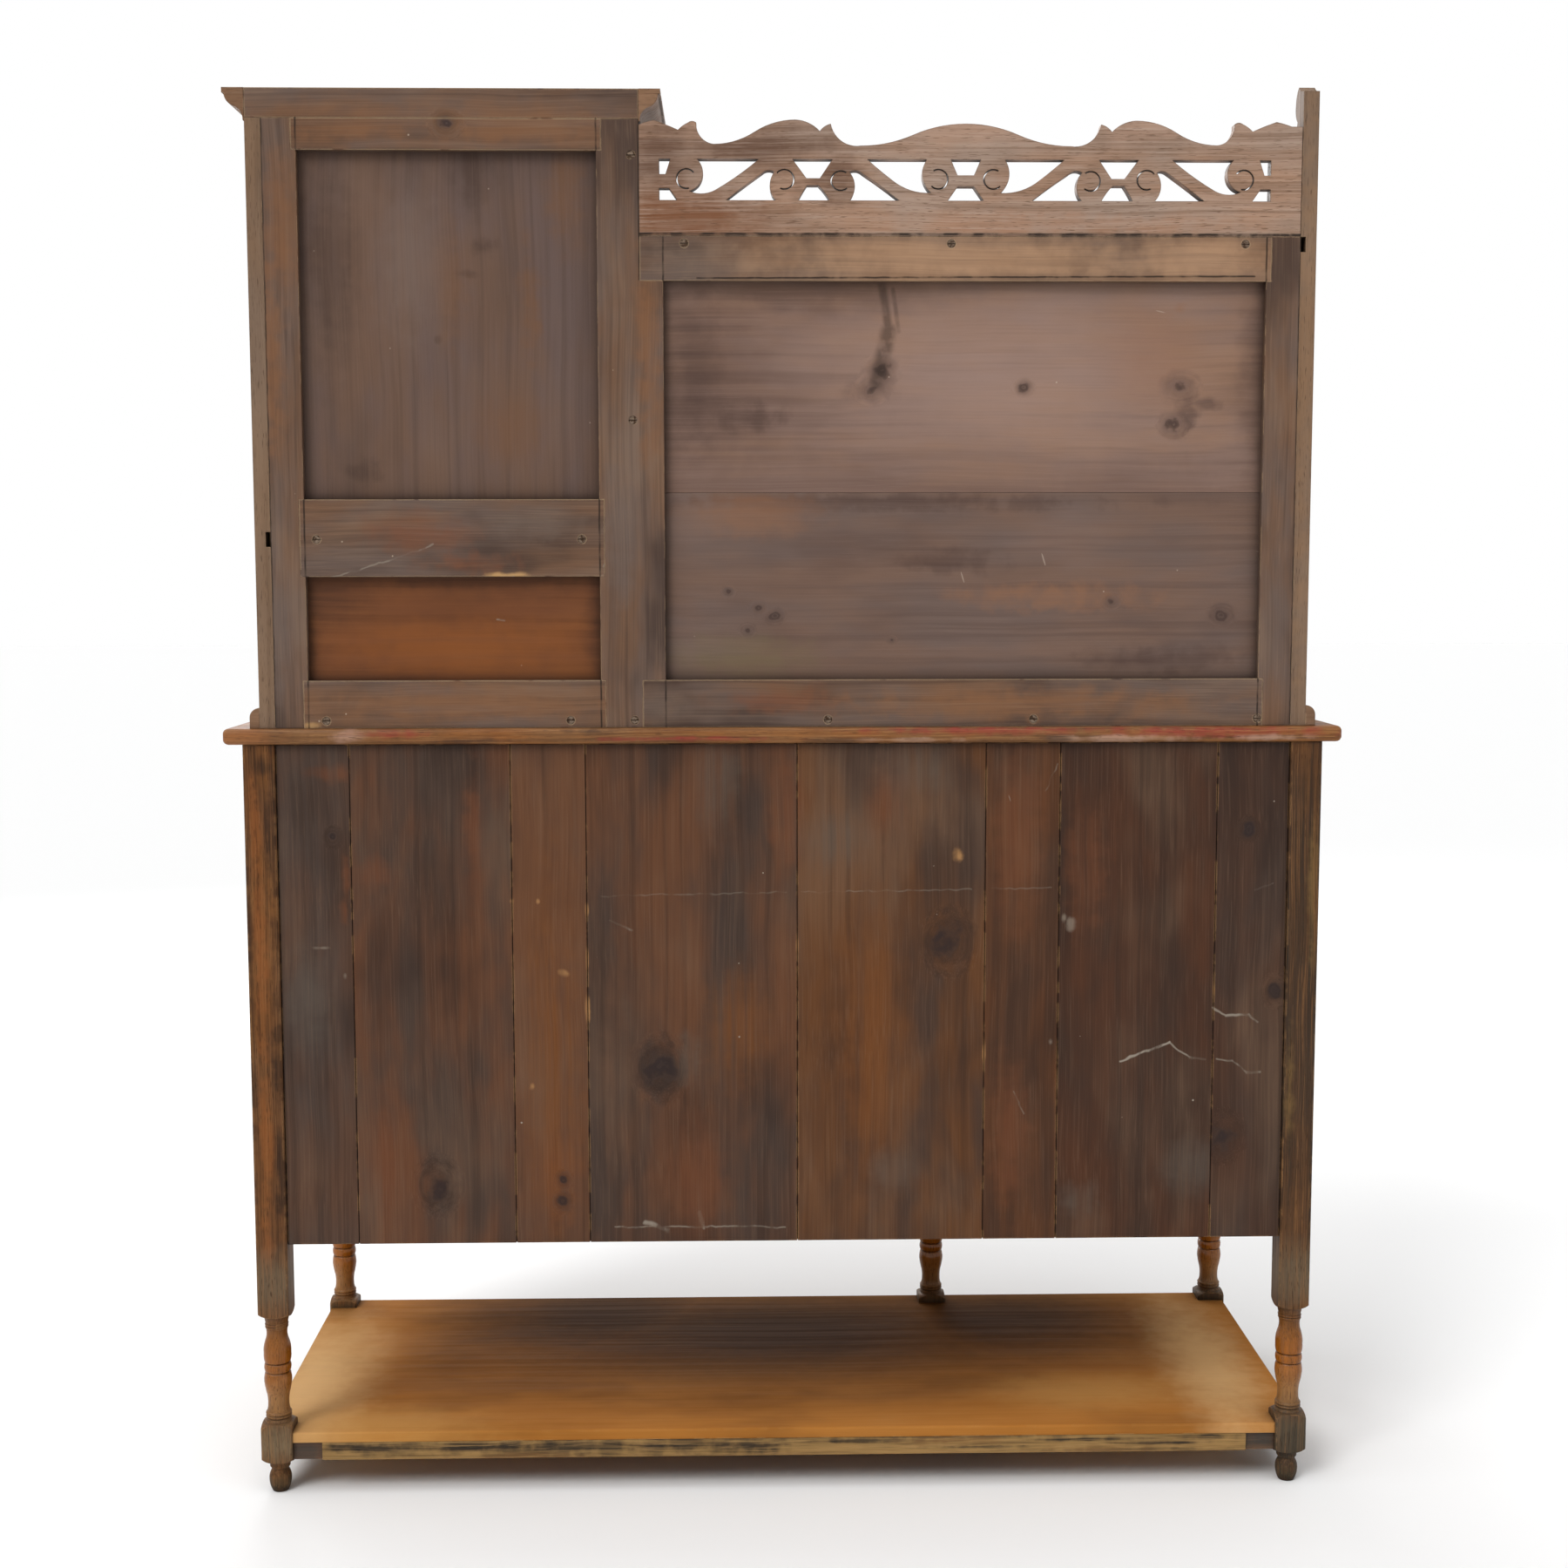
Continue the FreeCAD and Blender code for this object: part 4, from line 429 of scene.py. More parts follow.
# %% The wood recipe
WOOD_IOR, GRAIN_DEPTH, GRAIN_LIFT, EDGE_ROUND, BREAK_SIZE = 1.5, 0.1, 0.5, 1.2, 22.0
GLOSS_BANDS = (0.35, 0.65)
SHINE_EVENNESS, SHINE_ROUGHNESS = 0.8, 0.2
FILM_WEIGHT, FILM_ROUGHNESS, FILM_TINT = 0.4, 0.12, "#e8b87c"


def polished(tree, shader, place, gloss, broken, bands, spots):
    """Lowers the roughness on some spots, and puts a share of a clear amber film over them."""
    rubbed = patches(tree, place, spots, 1.0, broken, bands, SHINE_EVENNESS)
    film = add(tree, "Math", {0: rubbed, 1: FILM_WEIGHT}, operation="MULTIPLY")
    tree.links.new(film, shader.inputs["Coat Weight"])
    shader.inputs["Coat Roughness"].default_value = FILM_ROUGHNESS
    shader.inputs["Coat Tint"].default_value = linear(FILM_TINT)
    return add(tree, "Mix", {"Factor": rubbed, "A": gloss, "B": SHINE_ROUGHNESS}, data_type="FLOAT")


def wood(name, tones, axis, **told):
    """A wood of four tones, plain, warm, deep and pale, with its grain along an axis, and what it is told."""
    assert told.keys() <= PLAIN_WOOD.keys()
    look = SimpleNamespace(**{**PLAIN_WOOD, **told})
    material = bpy.data.materials.new(name)
    material.use_nodes = True
    tree, shader = material.node_tree, material.node_tree.nodes["Principled BSDF"]
    place = add(tree, "TexCoord", {}, "Object")
    if look.level:
        parts = add(tree, "SeparateXYZ", {"Vector": place}).node.outputs
        place = add(tree, "CombineXYZ", {"X": parts["X"], "Y": parts["Z"], "Z": parts["Y"]})
    broken = add(tree, "TexNoise", {"Vector": place, "Scale": 1 / (BREAK_SIZE * MM), "Detail": 4.0})
    grain = grain_of(tree, place, axis, look)
    radius = look.wear[1] if look.wear else EDGE_ROUND
    rounded_normal = add(tree, "Bevel", {"Radius": radius * MM}, samples=3)
    colour = stained(tree, place, grain, broken, tones, look)
    colour = grown(tree, colour, grain, broken, axis, tones, look)
    colour = aged(tree, place, colour, broken, rounded_normal, look)
    (low, high), (smooth, rough) = GLOSS_BANDS, look.rough
    gloss = add(tree, "MapRange", {0: grain.bands, 1: low, 2: high, 3: smooth, 4: rough}, **EASED)
    if look.polish:
        gloss = polished(tree, shader, place, gloss, broken, grain.bands, look.polish)
    bump = add(tree, "Bump", {"Height": grain.fibres, "Strength": GRAIN_LIFT, "Distance": GRAIN_DEPTH * MM,
                              "Normal": rounded_normal})
    for socket, value in (("Base Color", colour), ("Roughness", gloss), ("Normal", bump)):
        tree.links.new(value, shader.inputs[socket])
    shader.inputs["IOR"].default_value = WOOD_IOR
    shader.inputs["Specular IOR Level"].default_value = look.sheen
    return material


print("wood recipe ready, index", WOOD_IOR)

# %% [markdown]
# New pieces are tubes: a cross-section is carried along the board, and both ends are closed. A box with a
# bevel would do for one plank, but a section can have a tongue and a groove too. Its corners are rounded as
# a plane or a rub of sandpaper rounds them.

# %% Rounded sections
CORNER_STEPS = 5


def rounded(corners, radius, cell):
    """Points and outward normals round a section. At each corner the heading turns evenly from one side to
    the next, and the point is the arc's centre plus the radius times the normal; the straight sides are cut
    into cells."""
    corners = np.array(corners, float)
    sides = np.roll(corners, -1, 0) - corners
    heads = sides / np.linalg.norm(sides, axis=1)[:, None]
    before = np.roll(heads, 1, 0)
    bent = np.arctan2(before[:, 0] * heads[:, 1] - before[:, 1] * heads[:, 0], (before * heads).sum(1))
    start = np.arctan2(before[:, 1], before[:, 0])
    phi = start[:, None] + bent[:, None] * np.linspace(0, 1, CORNER_STEPS)
    normal = np.stack((np.sin(phi), -np.cos(phi)), -1)
    reach = np.sign(bent)[:, None, None] * radius
    tangent = corners - before * (radius * np.tan(np.abs(bent) / 2))[:, None]
    arc = tangent[:, None] - reach * normal[:, :1] + reach * normal
    points, normals = [], []
    for at, side in enumerate(sides):
        following = (at + 1) % len(corners)
        cuts = np.linspace(0, 1, max(1, int(np.linalg.norm(side) / cell)) + 1)[1:-1, None]
        points += [arc[at], arc[at][-1] * (1 - cuts) + arc[following][0] * cuts]
        normals += [normal[at], np.repeat(normal[at][-1:], len(cuts), 0)]
    return np.concatenate(points), np.concatenate(normals)


print(CORNER_STEPS, "points round each corner")

# %% [markdown]
# Along the board the section shrinks over the last millimetres, so the ends are eased too. Each point of the
# wide faces also moves in by a slow, shallow swell, as a hand plane leaves, which bends the light there. The
# swell only goes inwards, so a piece never outgrows the model's own.

# %% Planks
PLANK_CELL, FACE_POWER = 14.0, 4
SWELL_WAVES, SWELL_ACROSS, SWELL_ALONG, SWELL_START = 3, (90, 220), (180, 400), (0, 6.3)


def swell(rng, first, second):
    """A slow swell from 0 to 1 over two lengths in mm: a half, plus half the mean of crossed sine waves."""
    waves = [np.sin(2 * np.pi * (first / rng.uniform(*SWELL_ACROSS) + second / rng.uniform(*SWELL_ALONG))
                    + rng.uniform(*SWELL_START)) for _ in range(SWELL_WAVES)]
    return 0.5 + sum(waves) / (2 * SWELL_WAVES)


def carried(corners, begin, end, ease, depth, seed):
    """Section points at stations along the piece, moved in along their normals: by ease - sqrt(ease² -
    distance²) near an end, and by the swell on the wide faces. Gives (first, second, along), in mm."""
    points, normals = rounded(corners, ease, PLANK_CELL)
    quarter = np.linspace(0, np.pi / 2, CORNER_STEPS)[:-1]
    tip, draw = ease * (1 - np.cos(quarter)), ease * (1 - np.sin(quarter))
    middle = np.linspace(begin + ease, end - ease, max(2, int((end - begin) / PLANK_CELL)))
    along = np.concatenate((begin + tip, middle, end - tip[::-1]))
    drawn = np.concatenate((draw, np.zeros(len(middle)), draw[::-1]))
    thin = np.argmin(np.ptp(points, axis=0))
    face = np.abs(normals[:, thin]) ** FACE_POWER
    waves = swell(np.random.default_rng(seed), points.sum(-1), along[:, None])
    flat = points[None] - normals[None] * (depth * face * waves + drawn[:, None])[..., None]
    return np.concatenate((flat, np.broadcast_to(along[:, None, None], (*flat.shape[:2], 1))), -1)


print("planks are cut into cells of", PLANK_CELL, "mm")

# %% [markdown]
# The grid of points now becomes a mesh: neighbouring points of neighbouring stations make a face, and one
# flat face closes each end. A piece stands for a node of the model and rides on the carcass as the node does,
# so its size is read from that node's box and not typed a second time.

# %% Meshes
SHARP_ANGLE = 40
# Axes of a section's first and second coordinate and of its path
ALONG_X, ALONG_Z = (1, 2, 0), (0, 1, 2)


def tube_faces(stations, places):
    """Quads between neighbouring stations, and one flat face at each end."""
    row, place = np.meshgrid(np.arange(stations - 1) * places, np.arange(places), indexing="ij")
    beside = (place + 1) % places
    quads = np.stack((row + place, row + beside, row + places + beside, row + places + place), -1)
    last = (stations - 1) * places
    return quads.reshape(-1, 4).tolist() + [list(range(places))[::-1], list(range(last, last + places))]


def new_piece(name, grid, order, material, node):
    """Closed mesh on the carcass, standing for a node of the model."""
    xyz = np.empty(grid.shape)
    xyz[..., list(order)] = grid
    mesh = bpy.data.meshes.new(name)
    mesh.from_pydata((xyz.reshape(-1, 3) * MM).tolist(), [], tube_faces(*grid.shape[:2]))
    mesh.shade_smooth()
    mesh.set_sharp_from_angle(angle=math.radians(SHARP_ANGLE))
    mesh.materials.append(material)
    piece = bpy.data.objects.new(name, mesh)
    bpy.context.scene.collection.objects.link(piece)
    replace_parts(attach(piece, "carcass"), node)
    print(name, len(mesh.polygons), "faces")


def node_box(node):
    """Lowest and highest corner of a node of the model, in millimetres to a tenth."""
    return np.round(np.array(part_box(node)) / MM, 1)


def plank(name, node, box, order, material, ease, depth, seed):
    """A plain plank between the two corners of a box."""
    first, second, path = order
    (left, right), (low, high) = box[:, first], box[:, second]
    section = [(left, low), (right, low), (right, high), (left, high)]
    grid = carried(section, *box[:, path], ease, depth, seed)
    new_piece(name, grid, order, material, node)


print("edges over", SHARP_ANGLE, "degrees stay sharp")

# %% [markdown]
# The base is closed behind with eight pine boards, stained dark on both faces. Their wide faces show the
# most wear: warm streaks where the stain is thin, grey dust, knots and long scratches. These lists say where
# the larger marks are on the back face, chosen from the picture; a painted texture could not be moved.

# %% Marks on the back boards
board_knots = (
    (157, 546, 18), (435, 398, 16), (278, 404, 6), (280, 377, 7), (556, 838, 6), (-203, 703, 18),
    (-574, 843, 7), (-611, 639, 9), (-550, 454, 14))
thin_stain = (
    (503, 792, 20, 18), (560, 915, 28, 10), (503, 422, 30, 90), (286, 409, 28, 60), (112, 408, 36, 70),
    (-127, 879, 26, 50), (-4, 869, 22, 70), (-289, 835, 30, 120), (-282, 461, 24, 90), (-376, 791, 26, 80),
    (382, 838, 18, 80), (541, 788, 6, 28), (545, 745, 5, 20))
orange_streaks = ((-107, 573, 44, 190), (292, 560, 38, 240), (56, 596, 45, 70))
dust_lies = (
    (594, 640, 30, 60), (-63, 831, 48, 34), (87, 912, 32, 70), (-159, 922, 44, 34), (-513, 415, 44, 34),
    (-369, 371, 26, 22), (-138, 414, 32, 26), (122, 558, 14, 30))
dark_stain = (
    (-176, 781, 42, 70), (431, 784, 44, 60), (229, 652, 32, 100), (-434, 538, 66, 120), (590, 880, 30, 60))
board_scratches = (
    (-419, 552, -480, 574, 1.7, 1.0), (-480, 574, -506, 554, 1.3, 0.7), (-506, 554, -526, 552, 1.7, 0.8),
    (-539, 553, -561, 550, 1.2, 0.5), (-561, 550, -578, 535, 1.2, 0.6), (-578, 535, -595, 536, 1.9, 0.8),
    (-534, 619, -550, 608, 1.4, 0.7), (-550, 608, -579, 610, 1.9, 0.8), (-579, 610, -590, 600, 1.6, 0.8),
    (-583, 767, -605, 774, 1.2, 0.4), (-322, 892, -336, 924, 1.0, 0.35), (-286, 514, -298, 485, 1.0, 0.35),
    (228, 763, 0, 767, 1.0, 0.22), (-20, 767, -230, 769, 1.0, 0.25), (-255, 770, -330, 771, 1.0, 0.22),
    (216, 732, 190, 721, 1.6, 0.5), (214, 344, 2, 342, 1.2, 0.6), (176, 350, 149, 338, 3.4, 0.8),
    (109, 360, 103, 342, 2.6, 0.7))
pale_spots = ((-331, 576, 3, 4), (-354, 726, 5, 9), (-346, 733, 3, 5), (545, 665, 2, 3), (572, 700, 12, 2))
bare_chips = (
    (-214, 811, 5, 9), (276, 668, 6, 4), (316, 524, 3, 5), (246, 618, 2.5, 14), (246, 744, 2, 8),
    (246, 682, 1.5, 16), (338, 757, 3, 3), (306, 757, 2, 3), (-14.5, 700, 1.5, 12), (-247.6, 560, 1.5, 18),
    (-534.8, 640, 1.5, 12))
BOARD_WASHES = (("#6d4026", 0.6, thin_stain), ("#74451f", 0.7, orange_streaks), ("#5a5047", 0.5, dust_lies),
                ("#3a2a21", 0.7, dark_stain), ("#877a6c", 0.6, pale_spots), ("#b08252", 0.95, bare_chips))
print(sum(len(spots) for _, _, spots in BOARD_WASHES), "spots on the back boards")

# %% [markdown]
# The boards differ in tone, as boards from different trees do, and the tongue of one lies in the groove of
# the next. One material for all of them would need every mark in every board, so each board gets a wood of
# its own with only the marks that start on it or close beside it.

# %% Back boards of the base
BOARD_JOINTS, BOARD_GAP = (534.4, 337.7, 245.6, -14.5, -247.6, -339.6, -534.8), 0.8
BOARD_TONES = (("#4a3d36", "#543a2b"), ("#45352c", "#603c26"), ("#54392a", "#64412a"), ("#42332b", "#603d27"),
               ("#423026", "#603b1e"), ("#4a3020", "#5b361c"), ("#38261c", "#4b2c1a"), ("#3e2f27", "#472e20"))
TONGUE_REACH, TONGUE_BEGIN, TONGUE_END = 4.8, 4.4, 7.6
GROOVE_DEPTH, GROOVE_BEGIN, GROOVE_END = 5.6, 4.0, 8.0
BOARD_EASE, BOARD_SWELL, BOARD_SHIFT, MARK_OVERLAP = 0.7, 0.25, 0.7, 12
(board_left, board_front, board_low), (board_right, board_back, board_high) = node_box("base_back_boards")


def within(marks, edges):
    """The marks that start on one board or close beside it."""
    return [mark for mark in marks if edges[0] - MARK_OVERLAP <= mark[0] <= edges[1] + MARK_OVERLAP]


def board_section(left, right, tongue, groove):
    """Outline of a board from above: a rectangle, with a tongue on its left and a groove on its right."""
    section = [(left, board_front), (right, board_front), (right, board_back), (left, board_back)]
    if tongue:
        tip, begin, end = left - TONGUE_REACH, board_front + TONGUE_BEGIN, board_front + TONGUE_END
        section += [(left, end), (tip, end), (tip, begin), (left, begin)]
    if groove:
        floor_x, begin, end = right - GROOVE_DEPTH, board_front + GROOVE_BEGIN, board_front + GROOVE_END
        section[2:2] = [(right, begin), (floor_x, begin), (floor_x, end), (right, end)]
    return section


for number, (plain, warm) in enumerate(BOARD_TONES):
    first, last = number == 0, number == len(BOARD_JOINTS)
    edges = (board_left if last else BOARD_JOINTS[number] + BOARD_GAP / 2,
             board_right if first else BOARD_JOINTS[number - 1] - BOARD_GAP / 2)
    # Stained pine: dark and dull, with warm streaks where the stain is thin, pale rubbed edges, and darker
    # corners and a band under the worktop that are part dirt and part painted shade
    stain = wood(
        "stained pine board %d" % (number + 1), (plain, warm, "#2c1e17", "#7a5f4a"), "Z",
        shift=BOARD_SHIFT * number, evenness=0.3, streak=0.4, fleck=0.18, shade=0.68,
        washes=[(code, strength, within(spots, edges)) for code, strength, spots in BOARD_WASHES],
        knots=within(board_knots, edges), knot="#2a1f1d", scratches=within(board_scratches, edges),
        wear=("#a07a50", 2.4, 0.2), grime=("#1d130d", 30.0, 0.85), speck="#9c8f80", rough=(0.46, 0.62))
    grid = carried(board_section(*edges, not last, not first), board_low, board_high, BOARD_EASE, BOARD_SWELL,
                   number)
    new_piece("back_board_%d" % (number + 1), grid, ALONG_Z, stain, "base_back_boards")

# %% [markdown]
# Above the worktop a frame of stiles and rails holds thin panels in grooves. The cupboard's panel stands
# upright in the grain, and the niche and the open side have level boards. Their stain is redder and thinner
# than that of the boards below, so each gets quieter streaks and a few broad clouds of its own.

# %% Stains of the thin panels
# Old stain on upright pine: a quiet grey-brown with damp clouds and dark spots, painted shade of the
# recess beside the outer stile and under the top rail, and darkening in from the frame that is part dirt
# and part painted shade
cupboard_stain = wood(
    "stained panel, upright grain", ("#62504a", "#6a5142", "#4b3a31", "#7d685c"), "Z", band=9.0, run=520.0,
    # First wash: small dark spots of dirt, and painted shade of the recess by the outer stile and under the
    # top rail
    washes=(("#4a382f", 0.75, ((372, 1640, 27, 50), (359, 1551, 14, 12), (386, 1518, 14, 5),
                               (418, 1440, 4, 5), (510, 1286, 22, 14), (544, 1532, 32, 130))),
            ("#6f4f39", 0.7, ((402, 1507, 20, 66), (305, 1486, 14, 66), (261, 1610, 22, 66),
                              (331, 1331, 44, 44))),
            ("#75635a", 0.6, ((450, 1532, 44, 100),))),
    grime=("#2a1e17", 60.0, 0.9), speck="#9d8b7a")
# Fresher stain in the niche: the one clear red-brown on the back, with painted shade of the recess along
# the frame, and darkening in corners that is part dirt and part painted shade
niche_stain = wood(
    "stained panel, red", ("#6b4026", "#7d4b27", "#4f2f1c", "#8d5c38"), "X", band=9.0, run=520.0,
    washes=(("#8a5023", 0.7, ((400, 1066, 150, 40),)),
            # Painted shade of the recess, under the top rail and beside both stiles
            ("#4d3020", 0.85, ((560, 1130, 70, 36), (400, 1160, 220, 26), (222, 1100, 22, 90),
                               (590, 1090, 20, 90)))),
    scratches=((342, 1103, 352, 1103, 1.2, 0.7),), grime=("#2d1c12", 60.0, 0.9), speck="#a58a70")
print(cupboard_stain.name, "and", niche_stain.name)

# %% [markdown]
# The open side has a pair of boards with a joint between. Light bleached the upper one, and a branch left a
# dark streak in it. Both boards share one list of marks, and each takes those that lie between its edges.

# %% Stains of the open side
OPEN_JOINT = 1257.0
open_marks = (
    # Painted shade of the recess, beside both stiles and under the top rail
    ("#5f493f", 0.8, ((90, 1400, 90, 140), (-20, 1500, 180, 30), (-585, 1400, 30, 130))),
    ("#6d564c", 0.7, ((-60, 1258, 420, 50), (-420, 1258, 200, 40))),
    ("#4e3b34", 0.7, ((-105, 1381, 26, 14), (43, 1347, 38, 16), (-105, 1246, 260, 10), (-492, 1352, 12, 30),
                      (-201, 1173, 54, 14), (-460, 1053, 86, 16), (-514, 1363, 27, 7), (106, 1409, 28, 86))),
    ("#8a6248", 0.7, ((-438, 1420, 64, 54), (38, 1231, 76, 28), (-335, 1130, 108, 16), (-479, 1478, 7, 7))),
    ("#6f6146", 0.6, ((55, 1057, 86, 28),)),
    ("#a1867a", 0.6, ((-270, 1400, 190, 100),)))
branch_streak = ((-116, 1517, -126, 1450, 6, 0.55), (-126, 1450, -112, 1392, 11, 0.6),
                 (-131, 1500, -138, 1450, 3, 0.4))
open_knots = (
    (-117, 1404, 10), (-105, 1381, 10), (-289, 1384, 6), (-481, 1383, 11), (-474, 1338, 9), (32, 1117, 5),
    (13, 1108, 6), (46, 1090, 5), (69, 1137, 4), (-131, 1078, 3), (-401, 1124, 6), (-537, 1108, 8))


def open_board(name, tones, box, shift):
    """Finish of one board of the open side. Old stain on level pine: soft, broad bands and small knots,
    darker towards the frame by dirt and painted shade.
    """
    low, high = box[:, 2]
    washes = [(code, share, [s for s in spots if low < s[1] < high]) for code, share, spots in open_marks]
    return wood(name, tones, "X", cloud=60.0, band=11.0, run=560.0, shift=shift, washes=washes,
                knots=[k for k in open_knots if low < k[1] < high], knot="#45352f",
                seams=[s for s in branch_streak if low < s[1] <= high],
                grime=("#2a1e17", 75.0, 0.9), speck="#b7a595", rough=(0.48, 0.64))


low_box, high_box = node_box("open_back_panel"), node_box("open_back_panel")
low_box[1, 2] = high_box[0, 2] = OPEN_JOINT
low_stain = open_board(
    "stained panel, open side low", ("#69574f", "#735a4c", "#4f3d37", "#85716a"), low_box, 0.3)
high_stain = open_board(
    "stained panel, open side high", ("#836a5f", "#8d6d59", "#5f4a41", "#a08679"), high_box, 1.7)
print("joint of the open panel at", OPEN_JOINT, "mm")

# %% [markdown]
# With the stains ready, the four boards are cut to the boxes of the panels that they stand for. Thin boards
# move more than thick ones as they dry, so their swell is twice as deep as that of the boards below.

# %% Thin back panels
PANEL_EASE, PANEL_SWELL = 0.8, 0.5

for name, node, box, order, material in (
        ("cupboard_panel_board", "cupboard_back_panel", None, ALONG_Z, cupboard_stain),
        ("niche_panel_board", "niche_back_panel", None, ALONG_X, niche_stain),
        ("open_panel_board_low", "open_back_panel", low_box, ALONG_X, low_stain),
        ("open_panel_board_high", "open_back_panel", high_box, ALONG_X, high_stain)):
    box = node_box(node) if box is None else box
    seed = round(box[0, 0] if order is ALONG_Z else box[0, 2])
    plank(name, node, box, order, material, PANEL_EASE, PANEL_SWELL, seed)

# %% [markdown]
# The worktop is one wide plank, its edge rounded by years of leaning. Red paint once ran along its back edge,
# and only traces are left in the pores. They are washes that begin behind a depth, so that they stay on that
# edge. Below, the pot board's rail carries a pale batten of raw wood, nailed on later.

# %% Woods of the worktop and the batten
# Oiled oak: a warm brown with dark pores, and traces of red and chalky paint along the back edge only
oiled_oak = wood(
    "oak worktop, worn", ("#7d5634", "#895529", "#4f321c", "#a87c50"), "X", cloud=40.0, band=4.0, run=260.0,
    streak=0.6, fleck=0.45, behind=258.0,
    washes=(("#b08a76", 0.85, ((530, 962, 20, 9),)),
            ("#8a332b", 0.9, ((-520, 965, 130, 7), (480, 965, 40, 5), (-250, 967, 140, 5),
                              (120, 958, 90, 3))),
            ("#b3917c", 0.7, ((-400, 957, 90, 4), (-150, 956, 60, 3), (-600, 958, 40, 4))),
            ("#a2663a", 0.6, ((660, 962, 40, 20),)),
            ("#4a3323", 0.8, ((-60, 955, 30, 5), (-330, 957, 20, 5), (240, 968, 26, 4), (380, 956, 40, 4)))),
    pore="#4a2d1a", wear=("#a77d52", 4.0, 0.18), grime=("#2c1b12", 16.0, 0.6), rough=(0.44, 0.6), sheen=0.2)
# Raw sawn pine: dry and pale, with long black smears of old paint that follow the grain
raw_batten = wood(
    "raw pine batten, old paint", ("#8e7044", "#9c7a4a", "#503c26", "#b6905e"), "X", cloud=40.0, band=4.0,
    run=120.0, streak=0.6, fleck=0.4, evenness=0.45,
    washes=(("#2c2620", 1.0, ((520, 59, 70, 9), (400, 60, 120, 10), (260, 58, 120, 12), (120, 60, 80, 11),
                              (330, 48, 60, 6), (40, 57, 40, 10), (-100, 62, 80, 2.5), (-250, 52, 60, 2),
                              (-380, 61, 60, 2.5), (-210, 66, 120, 2), (-420, 47, 90, 2), (-480, 55, 60, 2),
                              (-540, 62, 30, 3))),
            ("#7d5a34", 0.8, ((-210, 62, 60, 6), (-400, 48, 70, 6), (330, 46, 60, 5)))),
    grime=("#3b2d20", 14.0, 0.6), rough=(0.62, 0.78))
print("woods:", oiled_oak.name, "/", raw_batten.name)

# %% [markdown]
# The frame of the upper back is old pine, grey where it was touched least. Its joints show as dark lines.
# Gaps could be cut into the model, but a line of a millimetre or so shows as much from here.

# %% Wood of the upper frame
SEAM = (1.3, 0.9)
PINE = ("#64534a", "#6e513d", "#42322a", "#8c725d")

# Old pine, level: dull grey-brown rails with open joints, chips down to the bare wood and worn edges
old_pine_level = wood(
    "old pine, level grain", PINE, "X", cloud=50.0, band=8.0, streak=0.42, fleck=0.2, shade=0.8,
    washes=(("#b08b6c", 0.9, ((-208, 1535, 270, 34), (-500, 1535, 100, 34))),
            ("#6b5b50", 0.6, ((116, 1532, 50, 28), (297, 1221, 56, 20), (151, 997, 36, 22))),
            ("#7a4a30", 0.6, ((379, 1172, 52, 14), (444, 1211, 64, 24), (2, 1004, 66, 18))),
            ("#80593c", 0.8, ((330, 1690, 130, 26), (520, 1690, 110, 26), (400, 1000, 190, 26),
                              (-300, 1000, 200, 20))),
            ("#c49a66", 0.95, ((335, 1157, 24, 4), (579, 975, 10, 4)))),
    knots=((402, 1692, 9),),
    scratches=((550, 1155, 484, 1174, 1.1, 0.5), (484, 1174, 426, 1195, 1.1, 0.5),
               (226, 1155, 187, 1182, 1.4, 0.6), (221, 1168, 213, 1179, 1.3, 0.6)),
    seams=[(*line, *SEAM) for line in (
        (581, 972, 581, 1030), (581, 1156, 581, 1249), (581, 1661, 581, 1698), (225, 972, 225, 1030),
        (225, 1156, 225, 1249), (225, 1661, 225, 1698), (146, 972, 146, 1030), (146, 1509, 146, 1562),
        (-581, 972, -581, 1030), (-581, 1509, -581, 1562), (105, 1512, -567, 1515), (174, 1562, -621, 1562))],
    wear=("#b99e7c", 2.4, 0.34), grime=("#2b1e17", 20.0, 0.7), speck="#a89682")
print("wood:", old_pine_level.name)

# %% [markdown]
# The worktop's edge is rounded by a third of its thickness, far more than a plane leaves. The batten and the
# board that closes the cornice behind are only eased.

# %% Worktop, batten and cornice board
WORKTOP_EASE, THIN_EASE, THIN_SWELL = 6.5, 0.8, 0.25

for name, node, material, slot, ease in (
        ("worktop_plank", "worktop", oiled_oak, "oak_frame", WORKTOP_EASE),
        ("batten_strip", "pot_board_batten", raw_batten, "pale_batten", THIN_EASE),
        ("cornice_back_plank", "cornice_back_board", old_pine_level, "oak_frame", THIN_EASE)):
    plank(name, node, node_box(node), ALONG_X, material, ease, THIN_SWELL, len(name))

# %% [markdown]
# The other pieces keep the joiner's own shapes: mortised legs, notched shelves, turned feet and the sawn
# gallery are already as they should be, and only need their finish. First come those of the upper part. The
# gallery is oak with open pores, and its sawn edges are darker than its faces.

# %% Woods of the upper part
# Old pine, upright: the same dull grey-brown, with a shadow line where the frame meets the sides
old_pine_upright = wood(
    "old pine, upright grain", PINE, "Z", cloud=50.0, band=8.0, streak=0.42, fleck=0.2, shade=0.8, shift=0.9,
    washes=(("#6b5b52", 0.6, ((200, 1221, 20, 90), (620, 1116, 14, 90))),
            ("#80583b", 0.7, ((163, 1429, 16, 130), (615, 1428, 14, 130), (600, 1560, 20, 90)))),
    seams=[(*line, *SEAM) for line in (
        (621.6, 975, 621.6, 1697), (-621.6, 975, -621.6, 1561), (174.5, 1510, 174.5, 1697))],
    wear=("#a98c6a", 1.8, 0.2), grime=("#2b1e17", 20.0, 0.7), speck="#a89682")
